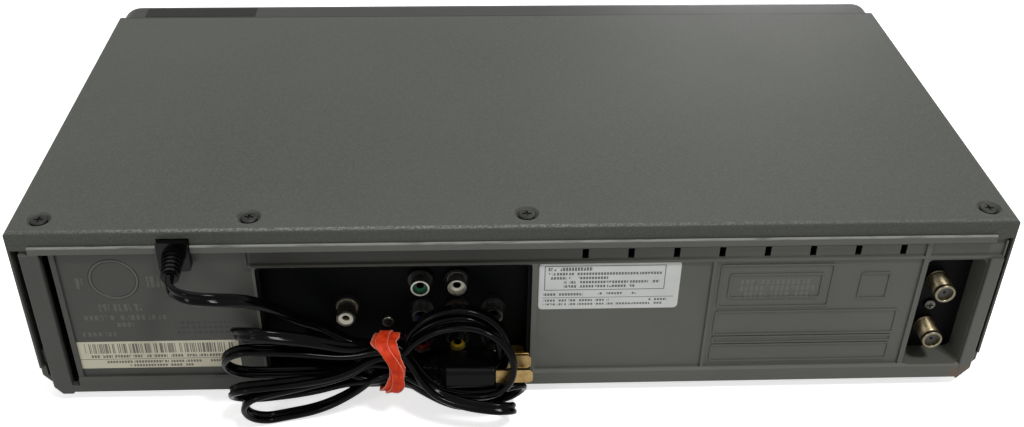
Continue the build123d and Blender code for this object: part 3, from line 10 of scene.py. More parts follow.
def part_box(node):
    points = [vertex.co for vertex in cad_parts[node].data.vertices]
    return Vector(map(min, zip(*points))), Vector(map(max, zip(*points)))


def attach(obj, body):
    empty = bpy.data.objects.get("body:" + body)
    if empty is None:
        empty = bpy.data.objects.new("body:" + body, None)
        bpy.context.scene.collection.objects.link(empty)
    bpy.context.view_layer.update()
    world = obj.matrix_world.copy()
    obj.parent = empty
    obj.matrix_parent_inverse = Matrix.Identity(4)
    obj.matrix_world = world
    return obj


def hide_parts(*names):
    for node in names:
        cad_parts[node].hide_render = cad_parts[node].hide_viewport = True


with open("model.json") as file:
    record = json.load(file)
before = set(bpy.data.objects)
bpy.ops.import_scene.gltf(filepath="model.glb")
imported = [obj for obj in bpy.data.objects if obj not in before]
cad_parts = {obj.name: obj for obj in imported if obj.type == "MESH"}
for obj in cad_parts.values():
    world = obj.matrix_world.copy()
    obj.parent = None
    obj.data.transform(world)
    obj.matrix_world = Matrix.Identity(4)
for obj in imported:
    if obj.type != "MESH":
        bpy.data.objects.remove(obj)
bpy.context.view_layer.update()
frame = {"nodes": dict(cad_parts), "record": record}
nodes = frame["nodes"]

# Camera, at the photograph's place
camera_place = (0.026417, 0.526502, 0.377616)
camera_right = (-0.999326, 0.035590, 0.008965)
camera_up = (-0.013029, -0.572362, 0.819898)
camera_back = (0.034312, 0.819229, 0.572440)
camera_lens = 41.1204
camera_sensor = 36.0
camera_shift = (0.014315, 0.020163)
camera_near = 0.01

# Stage and lights: name, place, what it looks at, size and power
floor_half = 6.0
world_light = 0.22
lamps = (
    ("key", (-0.50, 0.75, 1.62), (0.0, 0.03, 0.06), 0.32, 16.5),
    ("fill", (0.90, 1.10, 0.80), (0.0, 0.06, 0.05), 0.28, 2.8),
    ("over", (0.10, -0.25, 1.70), (0.0, 0.0, 0.09), 0.90, 7.3),
    ("front", (-0.45, -1.25, 0.19), (0.0, -0.10, 0.05), 0.40, 4.4),
)

# How deep each finish's bump is
key_grain_deep = 0.00002
tool_line_deep = 0.00002
orange_peel_deep = 0.00006
case_grain_deep = 0.00005
raised_deep = 0.0020
vinyl_deep = 0.00001
red_rubber_deep = 0.0002

# Cover: worn rear bend, where it fades to the right and to the left, and the painted shadow along the seam
# at the front
bend_deep = (0.0021, 0.0013)
bend_low = (0.0009, 0.0003)
bend_fade_right = (-0.14, 0.02)
bend_fade_left = (0.205, 0.145)
seam_shadow_deep = 0.0009
seam_shadow_low = 0.0020

# Rear wall: its own plane, the tuner's plane and the skin that counts as outside
wall_y = 0.11555
tuner_y = 0.10355
wall_skin = 0.0001

# Painted shade inside the wall's recesses: the grey chassis is coloured near black there
inside_deep = 0.0004
inside_far = 0.100
inside_middle = 0.015
inside_half = 0.1965
inside_floor = 0.004

# Brown scuff at the right rear corner: its fade across and upwards, and its depth
scuff_across = (0.016, 0.008)
scuff_up = (0.0095, 0.006)
scuff_deep = 0.004

# Painted shade on the left field, painted shadow and shade under the rail, and a painted highlight along
# the rail's edge
shaded_field_edge = 0.1160
shaded_field_top = 0.0836
rail_shadow_run = (-0.110, 0.030)
rail_shadow_level = 0.0795
rail_shadow_half = 0.0044
shade_level = 0.0830
shade_half = 0.0011
shade_stand = 0.0006
rail_level = 0.0872
rail_stand = 0.0014

# Raised ring, raised strokes and printed strokes on the wall: left, right, low and high of each row; the
# raised ones carry a painted highlight
ring_place = (0.1760, 0.0690)
ring_radius = 0.0101
ring_edge = (0.0009, 0.0004)
raised_pitch = 0.0023
raised_rows = (
    (0.1925, 0.1895, 0.0640, 0.0700),
    (0.1620, 0.1550, 0.0645, 0.0705),
    (0.1850, 0.1660, 0.0515, 0.0556),
    (0.1930, 0.1560, 0.0465, 0.0492),
    (0.1795, 0.1700, 0.0425, 0.0450),
    (0.1955, 0.1800, 0.0372, 0.0396),
    (-0.0985, -0.1310, 0.0612, 0.0640),
    (-0.0985, -0.1335, 0.0577, 0.0605),
    (-0.0985, -0.1320, 0.0542, 0.0570),
)
printed_pitch = 0.0024
printed_rows = (
    (0.1535, 0.1260, 0.0436, 0.0452),
    (0.1530, 0.1280, 0.0408, 0.0424),
    (0.1530, 0.1260, 0.0380, 0.0396),
)

# Phono inserts: three columns, three rows, the coloured ring and its hole
insert_columns = (0.0431, 0.0268, 0.0105)
insert_rows = (0.0624, 0.0460, 0.0296)
insert_radius = 0.0042
insert_hole = 0.0018

# Coaxial jack
coax_place = (0.0765, 0.0478)
coax_radius = 0.0048
coax_hole = 0.0014
coax_end = 0.1181

# Aerial connectors: half outline as distance from the axis and distance back
aerial_x = -0.1940
aerial_levels = (0.0542, 0.0272)
aerial_steps = 40
filling_radius = 0.0031
rim_radii = (0.0032, 0.0050)
rim_back = 0.0119
glow_fade = (0.020, 0.012)
thread_pitch = 0.0008
thread_turns = 10
thread_start = 0.0022
thread_root = 0.00440
thread_crest = 0.00474
aerial_foot = ((0.0, 0.0002), (0.0052, 0.0002), (0.0052, 0.0012), (0.0048, 0.0016))
aerial_mouth = (
    (thread_root, 0.0103),
    (0.00444, 0.0106),
    (thread_crest, 0.0109),
    (thread_crest, 0.0121),
    (thread_root, 0.0125),
    (0.00370, 0.0125),
    (0.00345, 0.0122),
    (0.00335, 0.0108),
    (0.00070, 0.0108),
    (0.00060, 0.0092),
    (0.0, 0.0092),
)

# Labels: left, right, low and high edge of the sheet, its print, its rules and its bars
label_thick = 0.00014
label_pitch = 0.0013
label_segments = 5
cream_edges = (0.1992, 0.1262, 0.0184, 0.0340)
cream_corner = 0.0006
cream_rows = (
    (0.1935, 0.1290, 0.0246, 0.0262),
    (0.1870, 0.1330, 0.0214, 0.0228),
    (0.1770, 0.1480, 0.0192, 0.0205),
)
cream_rules = ((0.1992, 0.1262, 0.0236, 0.0239),)
cream_bars = (0.1960, 0.1285, 0.0272, 0.0328)
white_edges = (-0.0094, -0.0722, 0.0490, 0.0748)
white_corner = 0.0020
white_box = (-0.0118, -0.0655, 0.0596, 0.0731)
white_line = 0.0004
white_rule = (-0.0112, -0.0700, 0.0553, 0.0556)
white_rows = (
    (-0.0135, -0.0330, 0.0703, 0.0722),
    (-0.0135, -0.0640, 0.0679, 0.0693),
    (-0.0135, -0.0400, 0.0656, 0.0670),
    (-0.0205, -0.0630, 0.0633, 0.0647),
    (-0.0205, -0.0520, 0.0610, 0.0624),
    (-0.0115, -0.0300, 0.0566, 0.0580),
    (-0.0360, -0.0530, 0.0570, 0.0582),
    (-0.0115, -0.0410, 0.0533, 0.0545),
    (-0.0590, -0.0690, 0.0533, 0.0545),
    (-0.0115, -0.0650, 0.0512, 0.0523),
)

# Bare strip on top of the front panel: left, right, near and far edge
strip_edges = (0.2030, 0.1405, -0.0992, -0.1102)
strip_corner = 0.0006

# Plain marks on the keys: each key's shapes and how far they stand to the side
mark_half = 0.0015
mark_aside = 0.0014
key_marks = {
    "power_button": (("ring", 0.0),),
    "eject_button": (("up", 0.0), ("bar", 0.0)),
    "rewind_button": (("left", -mark_aside), ("left", mark_aside)),
    "play_button": (("right", 0.0),),
    "forward_button": (("right", -mark_aside), ("right", mark_aside)),
    "record_button": (("dot", 0.0),),
    "tray_button": (("up", 0.0), ("bar", 0.0)),
    "disc_play_button": (("right", 0.0),),
    "disc_stop_button": (("square", 0.0),),
}

# Power cord: its section, its slow twist and its lead
cord_wide = 0.0058
cord_thick = 0.0030
cord_section_steps = 8
cord_line_steps = 7
groove_angle = 38.0
twist_most = 0.35
twist_pace = 0.012
twist_seed = (3.7, 1.1)
boot_tip = (0.146036, 0.134393, 0.083247)
lead_route = (
    (0.145653, 0.138775, 0.083170),
    (0.1436, 0.1431, 0.0833),
    (0.1401, 0.1463, 0.0835),
    (0.1357, 0.1481, 0.0833),
    (0.1309, 0.1481, 0.0827),
    (0.1246, 0.1471, 0.0814),
    (0.1188, 0.1446, 0.0792),
    (0.1134, 0.1406, 0.0754),
    (0.1054, 0.1336, 0.0666),
    (0.0960, 0.1248, 0.0524),
    (0.0884, 0.1187, 0.0444),
    (0.0810, 0.1176, 0.0372),
)

# Hank: two layers of loops through one waist
hank_middle = (0.0570, 0.1258, 0.025338)
hank_lean = 10.0
hank_start = ((-0.0144, 0.0090, -0.0056), (-0.0036, 0.0086, -0.0058))
hank_end = (
    (-0.0100, 0.0040, 0.0030),
    (-0.0020, 0.0026, 0.0027),
    (0.0050, 0.0004, 0.0027),
    (0.0120, -0.0003, 0.0027),
)
hank_layer = 0.0054
hank_rest = 0.0028
waist_half = 0.006
waist_rises = (0.0036, 0.0051, 0.0067, 0.0082, 0.0098, 0.0082, 0.0067, 0.0051, 0.0036)
waist_lift = 0.0034
leg_shares = ((0.34, 0.60), (0.66, 0.92))
fold_steps = 6
fold_turn_pace = 1.6
# Each end of the hank in turn: tilt, reach, half height, roll, how far its tip stands out, sag
lobes = (
    (14.0, 0.0505, 0.0170, 0.0, 0.0014, 0.000),
    (19.0, 0.0680, 0.0120, 60.0, 0.0085, -0.002),
    (14.0, 0.0545, 0.0206, 0.0, 0.0014, 0.000),
    (19.0, 0.0713, 0.0153, 60.0, 0.0085, -0.002),
    (-9.0, 0.0610, 0.0120, 42.0, 0.002, 0.013),
    (6.5, 0.0735, 0.0120, 34.0, 0.002, -0.001),
    (-18.0, 0.0580, 0.0120, 55.0, 0.003, 0.009),
    (-6.5, 0.0715, 0.0120, 48.0, 0.002, 0.003),
    (10.0, 0.0560, 0.0185, 0.0, 0.0090, 0.000),
    (-13.5, 0.0670, 0.0128, 30.0, 0.005, 0.004),
)

# Rubber band round the hank's waist; each turn has its width, flare, lift, slant and seed
band_out = 0.0094
band_up = 0.0124
band_thick = 0.0009
band_corners = 3.6
band_steps = 110
band_steps_across = 6
band_ripple = 0.0005
band_wave_pace = 2.1
band_wave_share = 0.16
band_fine_pace = 6.0
band_fine_slope = 0.8
band_fine_share = 0.10
band_face_gain = 1.2
band_face_start = 0.35
band_bow = 1.5
band_flare_power = 4
band_shift = 0.0034
band_waver = 0.0008
band_drop = 0.0008
band_turns = ((0.0072, 0.0045, 0.0, 0.0006, 4.2), (0.0054, 0.0, 0.0011, -0.0022, 9.6))

# Vertices closer than this are one
ribbon_weld = 0.00002
thread_weld = 0.000002


def srgb(red, green, blue):
    """A colour written in screen values of 0 to 255, as a shader's linear colour."""
    parts = [channel / 255 for channel in (red, green, blue)]
    linear = [part / 12.92 if part <= 0.04045 else ((part + 0.055) / 1.055) ** 2.4 for part in parts]
    return (*linear, 1.0)


class Value:
    """A shader socket on which plain arithmetic adds Math nodes."""

    def __init__(self, paint, socket):
        self.paint = paint
        self.socket = socket

    def math(self, operation, first, second=0.0):
        return self.paint.node("ShaderNodeMath", {"operation": operation}, {0: first, 1: second})

    def __add__(self, other):
        return self.math("ADD", self, other)

    def __radd__(self, other):
        return self.math("ADD", other, self)

    def __sub__(self, other):
        return self.math("SUBTRACT", self, other)

    def __rsub__(self, other):
        return self.math("SUBTRACT", other, self)

    def __mul__(self, other):
        return self.math("MULTIPLY", self, other)

    def __rmul__(self, other):
        return self.math("MULTIPLY", other, self)

    def __truediv__(self, other):
        return self.math("DIVIDE", self, other)

    def __pow__(self, other):
        return self.math("POWER", self, other)

    def __lt__(self, other):
        return self.math("LESS_THAN", self, other)

    def __gt__(self, other):
        return self.math("GREATER_THAN", self, other)

    def __abs__(self):
        return self.math("ABSOLUTE", self)

    def fraction(self):
        return self.math("FRACT", self)

    def most(self, other):
        return self.math("MAXIMUM", self, other)

    def ease(self, low, high):
        """Zero at low, one at high and smooth between."""
        settings = {"interpolation_type": "SMOOTHSTEP"}
        return self.paint.node("ShaderNodeMapRange", settings, {0: self, 1: low, 2: high})


class Paint:
    """One node material, made socket by socket."""

    def __init__(self, name):
        self.material = bpy.data.materials.new(name)
        self.material.use_nodes = True
        self.tree = self.material.node_tree
        self.shader = self.tree.nodes["Principled BSDF"]
        self.place = self.node("ShaderNodeTexCoord", {}, {}, "Object")
        self.x = self.node("ShaderNodeSeparateXYZ", {}, {0: self.place}, "X")
        self.y = self.node("ShaderNodeSeparateXYZ", {}, {0: self.place}, "Y")
        self.z = self.node("ShaderNodeSeparateXYZ", {}, {0: self.place}, "Z")

    def node(self, kind, settings, sockets, out=0):
        """A node of one kind: its settings first, then the values or links of its sockets."""
        made = self.tree.nodes.new(kind)
        for name, value in settings.items():
            setattr(made, name, value)
        for name, value in sockets.items():
            self.feed(made.inputs[name], value)
        return Value(self, made.outputs[out])

    def feed(self, socket, value):
        """Links a socket to a value of the shader, or sets it to a plain one."""
        if isinstance(value, Value):
            self.tree.links.new(value.socket, socket)
        else:
            socket.default_value = value

    def noise(self, scale, detail=3.0, rough=0.55, place=None):
        sockets = {"Vector": place or self.place, "Scale": scale, "Detail": detail, "Roughness": rough}
        return self.node("ShaderNodeTexNoise", {}, sockets)

    def stretched(self, scale):
        """Object coordinates stretched by a different scale on each axis."""
        return self.node("ShaderNodeVectorMath", {"operation": "MULTIPLY"}, {0: self.place, 1: scale})

    def blend(self, mask, first, second):
        """The first colour where the mask is zero and the second where it is one."""
        return self.node("ShaderNodeMix", {"data_type": "RGBA"}, {0: mask, 6: first, 7: second}, 2)

    def bump(self, height, distance, strength=1.0, over=None):
        sockets = {"Height": height, "Distance": distance, "Strength": strength}
        if over is not None:
            sockets["Normal"] = over
        return self.node("ShaderNodeBump", {}, sockets)

    def field(self, left, right, low, high):
        """One inside a rectangle on the rear wall, from its left and right X and its low and high Z."""
        across = abs(self.x - (left + right) / 2) < abs(left - right) / 2
        return across * (abs(self.z - (low + high) / 2) < (high - low) / 2)

    def from_axis(self, x, z):
        """Distance from a line that runs front to back."""
        return ((self.x - x) ** 2.0 + (self.z - z) ** 2.0) ** 0.5

    def strokes(self, rows, pitch):
        """One inside rows of plain broken strokes."""
        broken = self.noise(1.0, 1.0, 0.5, self.stretched((420.0, 1.0, 130.0))) > 0.42
        beat = (self.x / pitch).fraction() < 0.72
        whole = 0.0
        for left, right, low, high in rows:
            whole = self.field(left, right, low, high) + whole
        return whole * broken * beat

    def symbol(self, shape, x, z):
        """One inside a plain mark on a face that looks to the front."""
        half = mark_half
        across = self.x - x
        up = self.z - z
        far = self.from_axis(x, z)
        if shape == "right":
            return (abs(up) < (half - across) * 0.6) * (across > -half)
        if shape == "left":
            return (abs(up) < (half + across) * 0.6) * (across < half)
        if shape == "up":
            return (abs(across) < (half - up) * 1.1) * (up > -half * 0.25)
        if shape == "bar":
            return (abs(across) < half * 1.35) * (abs(up + half * 0.75) < half * 0.25)
        if shape == "square":
            return (abs(across) < half * 0.8) * (abs(up) < half * 0.8)
        if shape == "ring":
            return abs(far - half * 1.3) < half * 0.22
        return far < half * 0.85

    def grain(self, dark, light, rough, scale):
        """Colour, roughness and fine grain of a moulded or painted surface that drifts slowly."""
        drift = self.noise(14.0, 2.0)
        fine = self.noise(scale, 2.0, 0.6)
        mask = (drift * 0.6 + fine * 0.4).ease(0.3, 0.7)
        shine = rough + (fine - 0.5) * 0.12 + (drift - 0.5) * 0.1
        return self.blend(mask, dark, light), shine, fine

    def seen_by_eye(self):
        """One for what the camera, a mirror or a glass sees."""
        camera = self.node("ShaderNodeLightPath", {}, {}, "Is Camera Ray")
        mirror = self.node("ShaderNodeLightPath", {}, {}, "Is Glossy Ray")
        glass = self.node("ShaderNodeLightPath", {}, {}, "Is Transmission Ray")
        return camera.most(mirror).most(glass)

    def surface(self, **sockets):
        """Feeds the surface shader; names are written with underscores."""
        for name, value in sockets.items():
            if name == "specular_level":
                self.shader.inputs["Specular IOR Level"].default_value = value
            else:
                self.feed(self.shader.inputs[name.replace("_", " ").title()], value)
        return self.material


def grained(name, dark, light, rough, scale, depth, specular):
    """Plain moulded or painted surface."""
    paint = Paint(name)
    colour, shine, fine = paint.grain(dark, light, rough, scale)
    return paint.surface(
        base_color=colour, roughness=shine, normal=paint.bump(fine, depth), specular_level=specular
    )


def key_finish():
    """Grey keys with plain pale marks: arrows, bars, a ring, a square and a dot."""
    paint = Paint("button_plastic")
    colour, shine, fine = paint.grain(srgb(98, 99, 97), srgb(113, 114, 111), 0.36, 900.0)
    marks = 0.0
    for name, shapes in key_marks.items():
        low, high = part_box(name)
        for shape, aside in shapes:
            marks = paint.symbol(shape, (low.x + high.x) / 2 + aside, (low.z + high.z) / 2) + marks
    colour = paint.blend(marks * 0.9, colour, srgb(214, 214, 206))
    return paint.surface(
        base_color=colour, roughness=shine, normal=paint.bump(fine, key_grain_deep), specular_level=0.4
    )


def metal(name, dark, light, rough):
    """Plated or plain metal with fine tool lines and faint tarnish."""
    paint = Paint(name)
    lines = paint.noise(1.0, 3.0, 0.6, paint.stretched((40.0, 2600.0, 2600.0)))
    stain = paint.noise(90.0, 4.0, 0.65)
    colour = paint.blend(stain.ease(0.35, 0.7), dark, light)
    shine = rough + (lines - 0.5) * 0.16 + (stain - 0.5) * 0.14
    return paint.surface(
        base_color=colour, roughness=shine, metallic=1.0, normal=paint.bump(lines, tool_line_deep, 0.5)
    )


def cover_finish():
    """Textured dark paint on folded sheet, worn to a broken pale line along the rear bend, with a painted
    shadow along the seam at the front.
    """
    paint = Paint("cover_paint")
    drift = paint.noise(5.0, 2.0)
    orange_peel = paint.noise(1500.0, 2.0, 0.55)
    smudge = paint.noise(34.0, 4.0, 0.6)
    mottle = (drift * 0.7 + smudge * 0.3).ease(0.3, 0.7)
    colour = paint.blend(mottle, srgb(66, 68, 63), srgb(75, 77, 72))
    colour = paint.blend(orange_peel.ease(0.35, 0.75) * 0.7, colour, srgb(89, 91, 85))
    low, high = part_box("top_cover")
    bend = paint.y.ease(*[high.y - deep for deep in bend_deep])
    bend = bend * paint.z.ease(*[high.z - below for below in bend_low])
    bend = bend * (0.35 + 0.65 * paint.x.ease(*bend_fade_right) * paint.x.ease(*bend_fade_left))
    broken = paint.noise(1.0, 3.0, 0.65, paint.stretched((760.0, 1300.0, 1300.0))).ease(0.40, 0.62)
    speck = paint.noise(1300.0, 2.0, 0.7).ease(0.58, 0.66)
    colour = paint.blend(bend * broken * 0.6, colour, srgb(142, 144, 138))
    colour = paint.blend(bend * speck * 0.45, colour, srgb(168, 170, 163))
    # Painted shadow: a dark line along the cover's front edge, where it meets the front panel
    seam_shadow = (paint.y < low.y + seam_shadow_deep) * (paint.z > high.z - seam_shadow_low)
    colour = paint.blend(seam_shadow * 0.85, colour, srgb(20, 20, 18))
    return paint.surface(
        base_color=colour,
        roughness=0.52 + (smudge - 0.5) * 0.12 + (orange_peel - 0.5) * 0.16,
        normal=paint.bump(orange_peel, orange_peel_deep, 0.7),
        specular_level=0.17,
    )


def case_scuff(paint, low):
    """One where the right rear corner is scuffed."""
    across = paint.x.ease(*[low.x + aside for aside in scuff_across]) * (paint.y > wall_y - scuff_deep)
    return across * paint.z.ease(*[low.z + rise for rise in scuff_up]) * paint.noise(260.0).ease(0.40, 0.55)


def case_recess_shade(paint, low):
    """One inside the wall's recesses, above the chassis's floor, where shade is painted."""
    deep = (paint.y < wall_y - inside_deep) * (paint.y > inside_far)
    return deep * (abs(paint.x - inside_middle) < inside_half) * (paint.z > low.z + inside_floor)


def case_finish():
    """Moulded chassis: spark grain, dust, raised plain marks with a painted highlight, painted shade inside
    the recesses and on the left field, painted shadow under the rail, a painted highlight along the rail's
    edge, and one brown scuff.
    """
    paint = Paint("case_plastic")
    drift = paint.noise(9.0, 2.0)
    fine = paint.noise(2100.0, 2.0, 0.6)
    dust = paint.noise(60.0, 5.0, 0.65)
    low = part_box("chassis")[0]
    outer = paint.y > wall_y - wall_skin
    colour = paint.blend(drift.ease(0.3, 0.7), srgb(84, 85, 79), srgb(93, 94, 88))
    colour = paint.blend(dust.ease(0.58, 0.8) * 0.3, colour, srgb(112, 112, 104))
    colour = paint.blend(case_scuff(paint, low) * 0.6, colour, srgb(118, 92, 74))
    # Painted shade: the recesses of the grey wall coloured near black
    colour = paint.blend(case_recess_shade(paint, low), colour, srgb(9, 9, 8))
    # Painted shade: the left field of the wall coloured darker
    shaded_field = (paint.x > shaded_field_edge) * (paint.z < shaded_field_top) * outer
    colour = paint.blend(shaded_field * 0.8, colour, srgb(54, 55, 51))
    # Painted shadow under the rail, darker towards the left
    rail_shadow = (paint.x < shaded_field_edge) * paint.x.ease(*rail_shadow_run)
    rail_shadow = rail_shadow * (abs(paint.z - rail_shadow_level) < rail_shadow_half) * outer
    colour = paint.blend(rail_shadow * 0.97, colour, srgb(25, 24, 19))
    shade = (abs(paint.z - shade_level) < shade_half) * outer * (paint.y < wall_y + shade_stand)
    colour = paint.blend(shade * 0.6, colour, srgb(38, 38, 34))
    # Painted highlight: a pale broken line along the rail's top edge
    rail_edge = (paint.z > rail_level) * (paint.y > wall_y + rail_stand)
    rail_highlight = paint.noise(1.0, 3.0, 0.6, paint.stretched((60.0, 500.0, 500.0))).ease(0.25, 0.55)
    colour = paint.blend(rail_edge * rail_highlight * 0.6, colour, srgb(168, 170, 164))
    printed = paint.strokes(printed_rows, printed_pitch) * outer
    colour = paint.blend(printed * 0.75, colour, srgb(40, 40, 38))
    ring = abs(paint.from_axis(*ring_place) - ring_radius).ease(*ring_edge)
    raised = ring.most(paint.strokes(raised_rows, raised_pitch)) * outer
    # Painted highlight: the raised ring and strokes coloured lighter than the wall
    colour = paint.blend(raised * 0.38, colour, srgb(118, 119, 112))
    return paint.surface(
        base_color=colour,
        roughness=0.52 + (dust - 0.5) * 0.2,
        normal=paint.bump(fine, case_grain_deep, 0.8, paint.bump(raised, raised_deep)),
        specular_level=0.3,
    )


def vinyl_finish():
    """Soft black vinyl of the cord, with finger smudges and a dull bloom."""
    paint = Paint("cord_vinyl")
    bloom = paint.noise(120.0, 4.0, 0.6)
    fine = paint.noise(1500.0, 2.0)
    colour = paint.blend(bloom.ease(0.4, 0.75), srgb(3, 3, 4), srgb(7, 7, 8))
    shine = 0.13 + (bloom - 0.5) * 0.16 + (fine - 0.5) * 0.05
    return paint.surface(
        base_color=colour, roughness=shine, normal=paint.bump(fine, vinyl_deep, 0.3), specular_level=0.07
    )


def red_rubber_finish():
    """Stretched red rubber, pale along its cut edges, with darker streaks as painted shade in its folds."""
    paint = Paint("red_rubber")
    ribbon = paint.node("ShaderNodeTexCoord", {}, {}, "UV")
    across = paint.node("ShaderNodeSeparateXYZ", {}, {0: ribbon}, "Y")
    lines = paint.noise(1.0, 4.0, 0.6, paint.stretched((900.0, 160.0, 160.0)))
    blotch = paint.noise(190.0, 3.0, 0.6)
    colour = paint.blend(blotch.ease(0.3, 0.7), srgb(188, 44, 18), srgb(224, 70, 34))
    colour = paint.blend(lines.ease(0.60, 0.78) * 0.5, colour, srgb(222, 104, 72))
    # Painted shade: darker streaks standing in for the shade in the band's folds
    colour = paint.blend(lines.ease(0.40, 0.25) * 0.5, colour, srgb(122, 22, 10))
    edge = abs(across - 0.5).ease(0.42, 0.49)
    colour = paint.blend(edge * 0.75, colour, srgb(228, 150, 128))
    return paint.surface(
        base_color=colour,
        roughness=0.48 + (blotch - 0.5) * 0.2,
        normal=paint.bump(lines, red_rubber_deep, 0.6),
        specular_level=0.14,
    )


def insert_finish():
    """Jack inserts, each coloured round its own hole and black at its collar."""
    paint = Paint("insert_plastic")
    left, middle, right = insert_columns
    upper, centre, lower = insert_rows
    jacks = (
        (left, upper, srgb(22, 96, 66)),
        (middle, upper, srgb(232, 228, 212)),
        (left, centre, srgb(22, 34, 84)),
        (middle, centre, srgb(120, 26, 22)),
        (right, centre, srgb(26, 26, 26)),
        (left, lower, srgb(150, 26, 24)),
        (middle, lower, srgb(196, 160, 38)),
        (right, lower, srgb(30, 28, 26)),
    )
    colour = srgb(12, 12, 12)
    for x, z, tint in jacks:
        far = paint.from_axis(x, z)
        colour = paint.blend((far < insert_radius) * (far > insert_hole), colour, tint)
    from_coax = paint.from_axis(*coax_place)
    coax = from_coax < coax_radius
    knurl = paint.noise(1.0, 1.0, 0.5, paint.stretched((2400.0, 60.0, 2400.0)))
    barrel = paint.blend(knurl.ease(0.4, 0.6), srgb(66, 61, 50), srgb(128, 121, 103))
    colour = paint.blend(coax, colour, barrel)
    end = coax * (paint.y > coax_end) * (from_coax > coax_hole)
    colour = paint.blend(end, colour, srgb(226, 222, 204))
    wear = paint.noise(300.0, 3.0)
    colour = paint.blend(wear.ease(0.55, 0.8) * 0.2, colour, srgb(70, 68, 62))
    return paint.surface(base_color=colour, roughness=0.3 + (wear - 0.5) * 0.2, specular_level=0.16)


def aerial_finish():
    """Yellowed nickel barrels with a dark filling round a small hole."""
    paint = Paint("aerial_nickel")
    from_middle = paint.from_axis(aerial_x, sum(aerial_levels) / len(aerial_levels))
    filling = 0.0
    rim = 0.0
    for level in aerial_levels:
        far = paint.from_axis(aerial_x, level)
        filling = (far < filling_radius) + filling
        rim = (far > rim_radii[0]) * (far < rim_radii[1]) + rim
    stain = paint.noise(260.0, 4.0, 0.65)
    colour = paint.blend(stain.ease(0.35, 0.7), srgb(74, 68, 54), srgb(116, 109, 90))
    colour = paint.blend(from_middle.ease(*glow_fade) * 0.15, colour, srgb(170, 150, 110))
    colour = paint.blend(rim * (paint.y > tuner_y + rim_back), colour, srgb(104, 99, 82))
    colour = paint.blend(filling, colour, srgb(40, 37, 32))
    shine = 0.33 + (stain - 0.5) * 0.2 + filling * 0.2
    return paint.surface(base_color=colour, roughness=shine, metallic=1.0 - filling)


def paper_finish(name, sheet, ink, rows, rules, bars=None):
    """A printed paper label: bare sheet, plain rules, broken strokes and, if given, a field of bars."""
    paint = Paint(name)
    age = paint.noise(70.0, 4.0, 0.6)
    aged = (*[part * 0.86 for part in sheet[:3]], 1.0)
    colour = paint.blend(age.ease(0.35, 0.75) * 0.5, sheet, aged)
    printed = paint.strokes(rows, label_pitch)
    for rule in rules:
        printed = printed.most(paint.field(*rule))
    if bars:
        stripe = paint.noise(1.0, 0.0, 0.5, paint.stretched((1900.0, 1.0, 1.0))) > 0.5
        printed = printed.most(paint.field(*bars) * stripe)
    colour = paint.blend(printed * 0.82, colour, ink)
    return paint.surface(base_color=colour, roughness=0.55 + (age - 0.5) * 0.2, specular_level=0.3)


def white_rules():
    """The lines of the white label: a box and one rule under it."""
    left, right, low, high = white_box
    return (
        (left, right, low, low + white_line),
        (left, right, high - white_line, high),
        (left, left - white_line, low, high),
        (right + white_line, right, low, high),
        white_rule,
    )


def floor_finish():
    """Plain floor: white to the eye, and no brighter than grey in what it throws back at the part."""
    paint = Paint("floor")
    speck = paint.noise(60.0, 2.0)
    shade = paint.blend(speck.ease(0.3, 0.7), (0.46, 0.46, 0.46, 1.0), (0.48, 0.48, 0.48, 1.0))
    colour = paint.blend(paint.seen_by_eye(), shade, (0.98, 0.98, 0.98, 1.0))
    glow = paint.blend(paint.seen_by_eye(), (0.0, 0.0, 0.0, 1.0), (0.66, 0.66, 0.66, 1.0))
    return paint.surface(
        base_color=colour, emission_color=glow, emission_strength=1.0, roughness=0.9, specular_level=0.0
    )


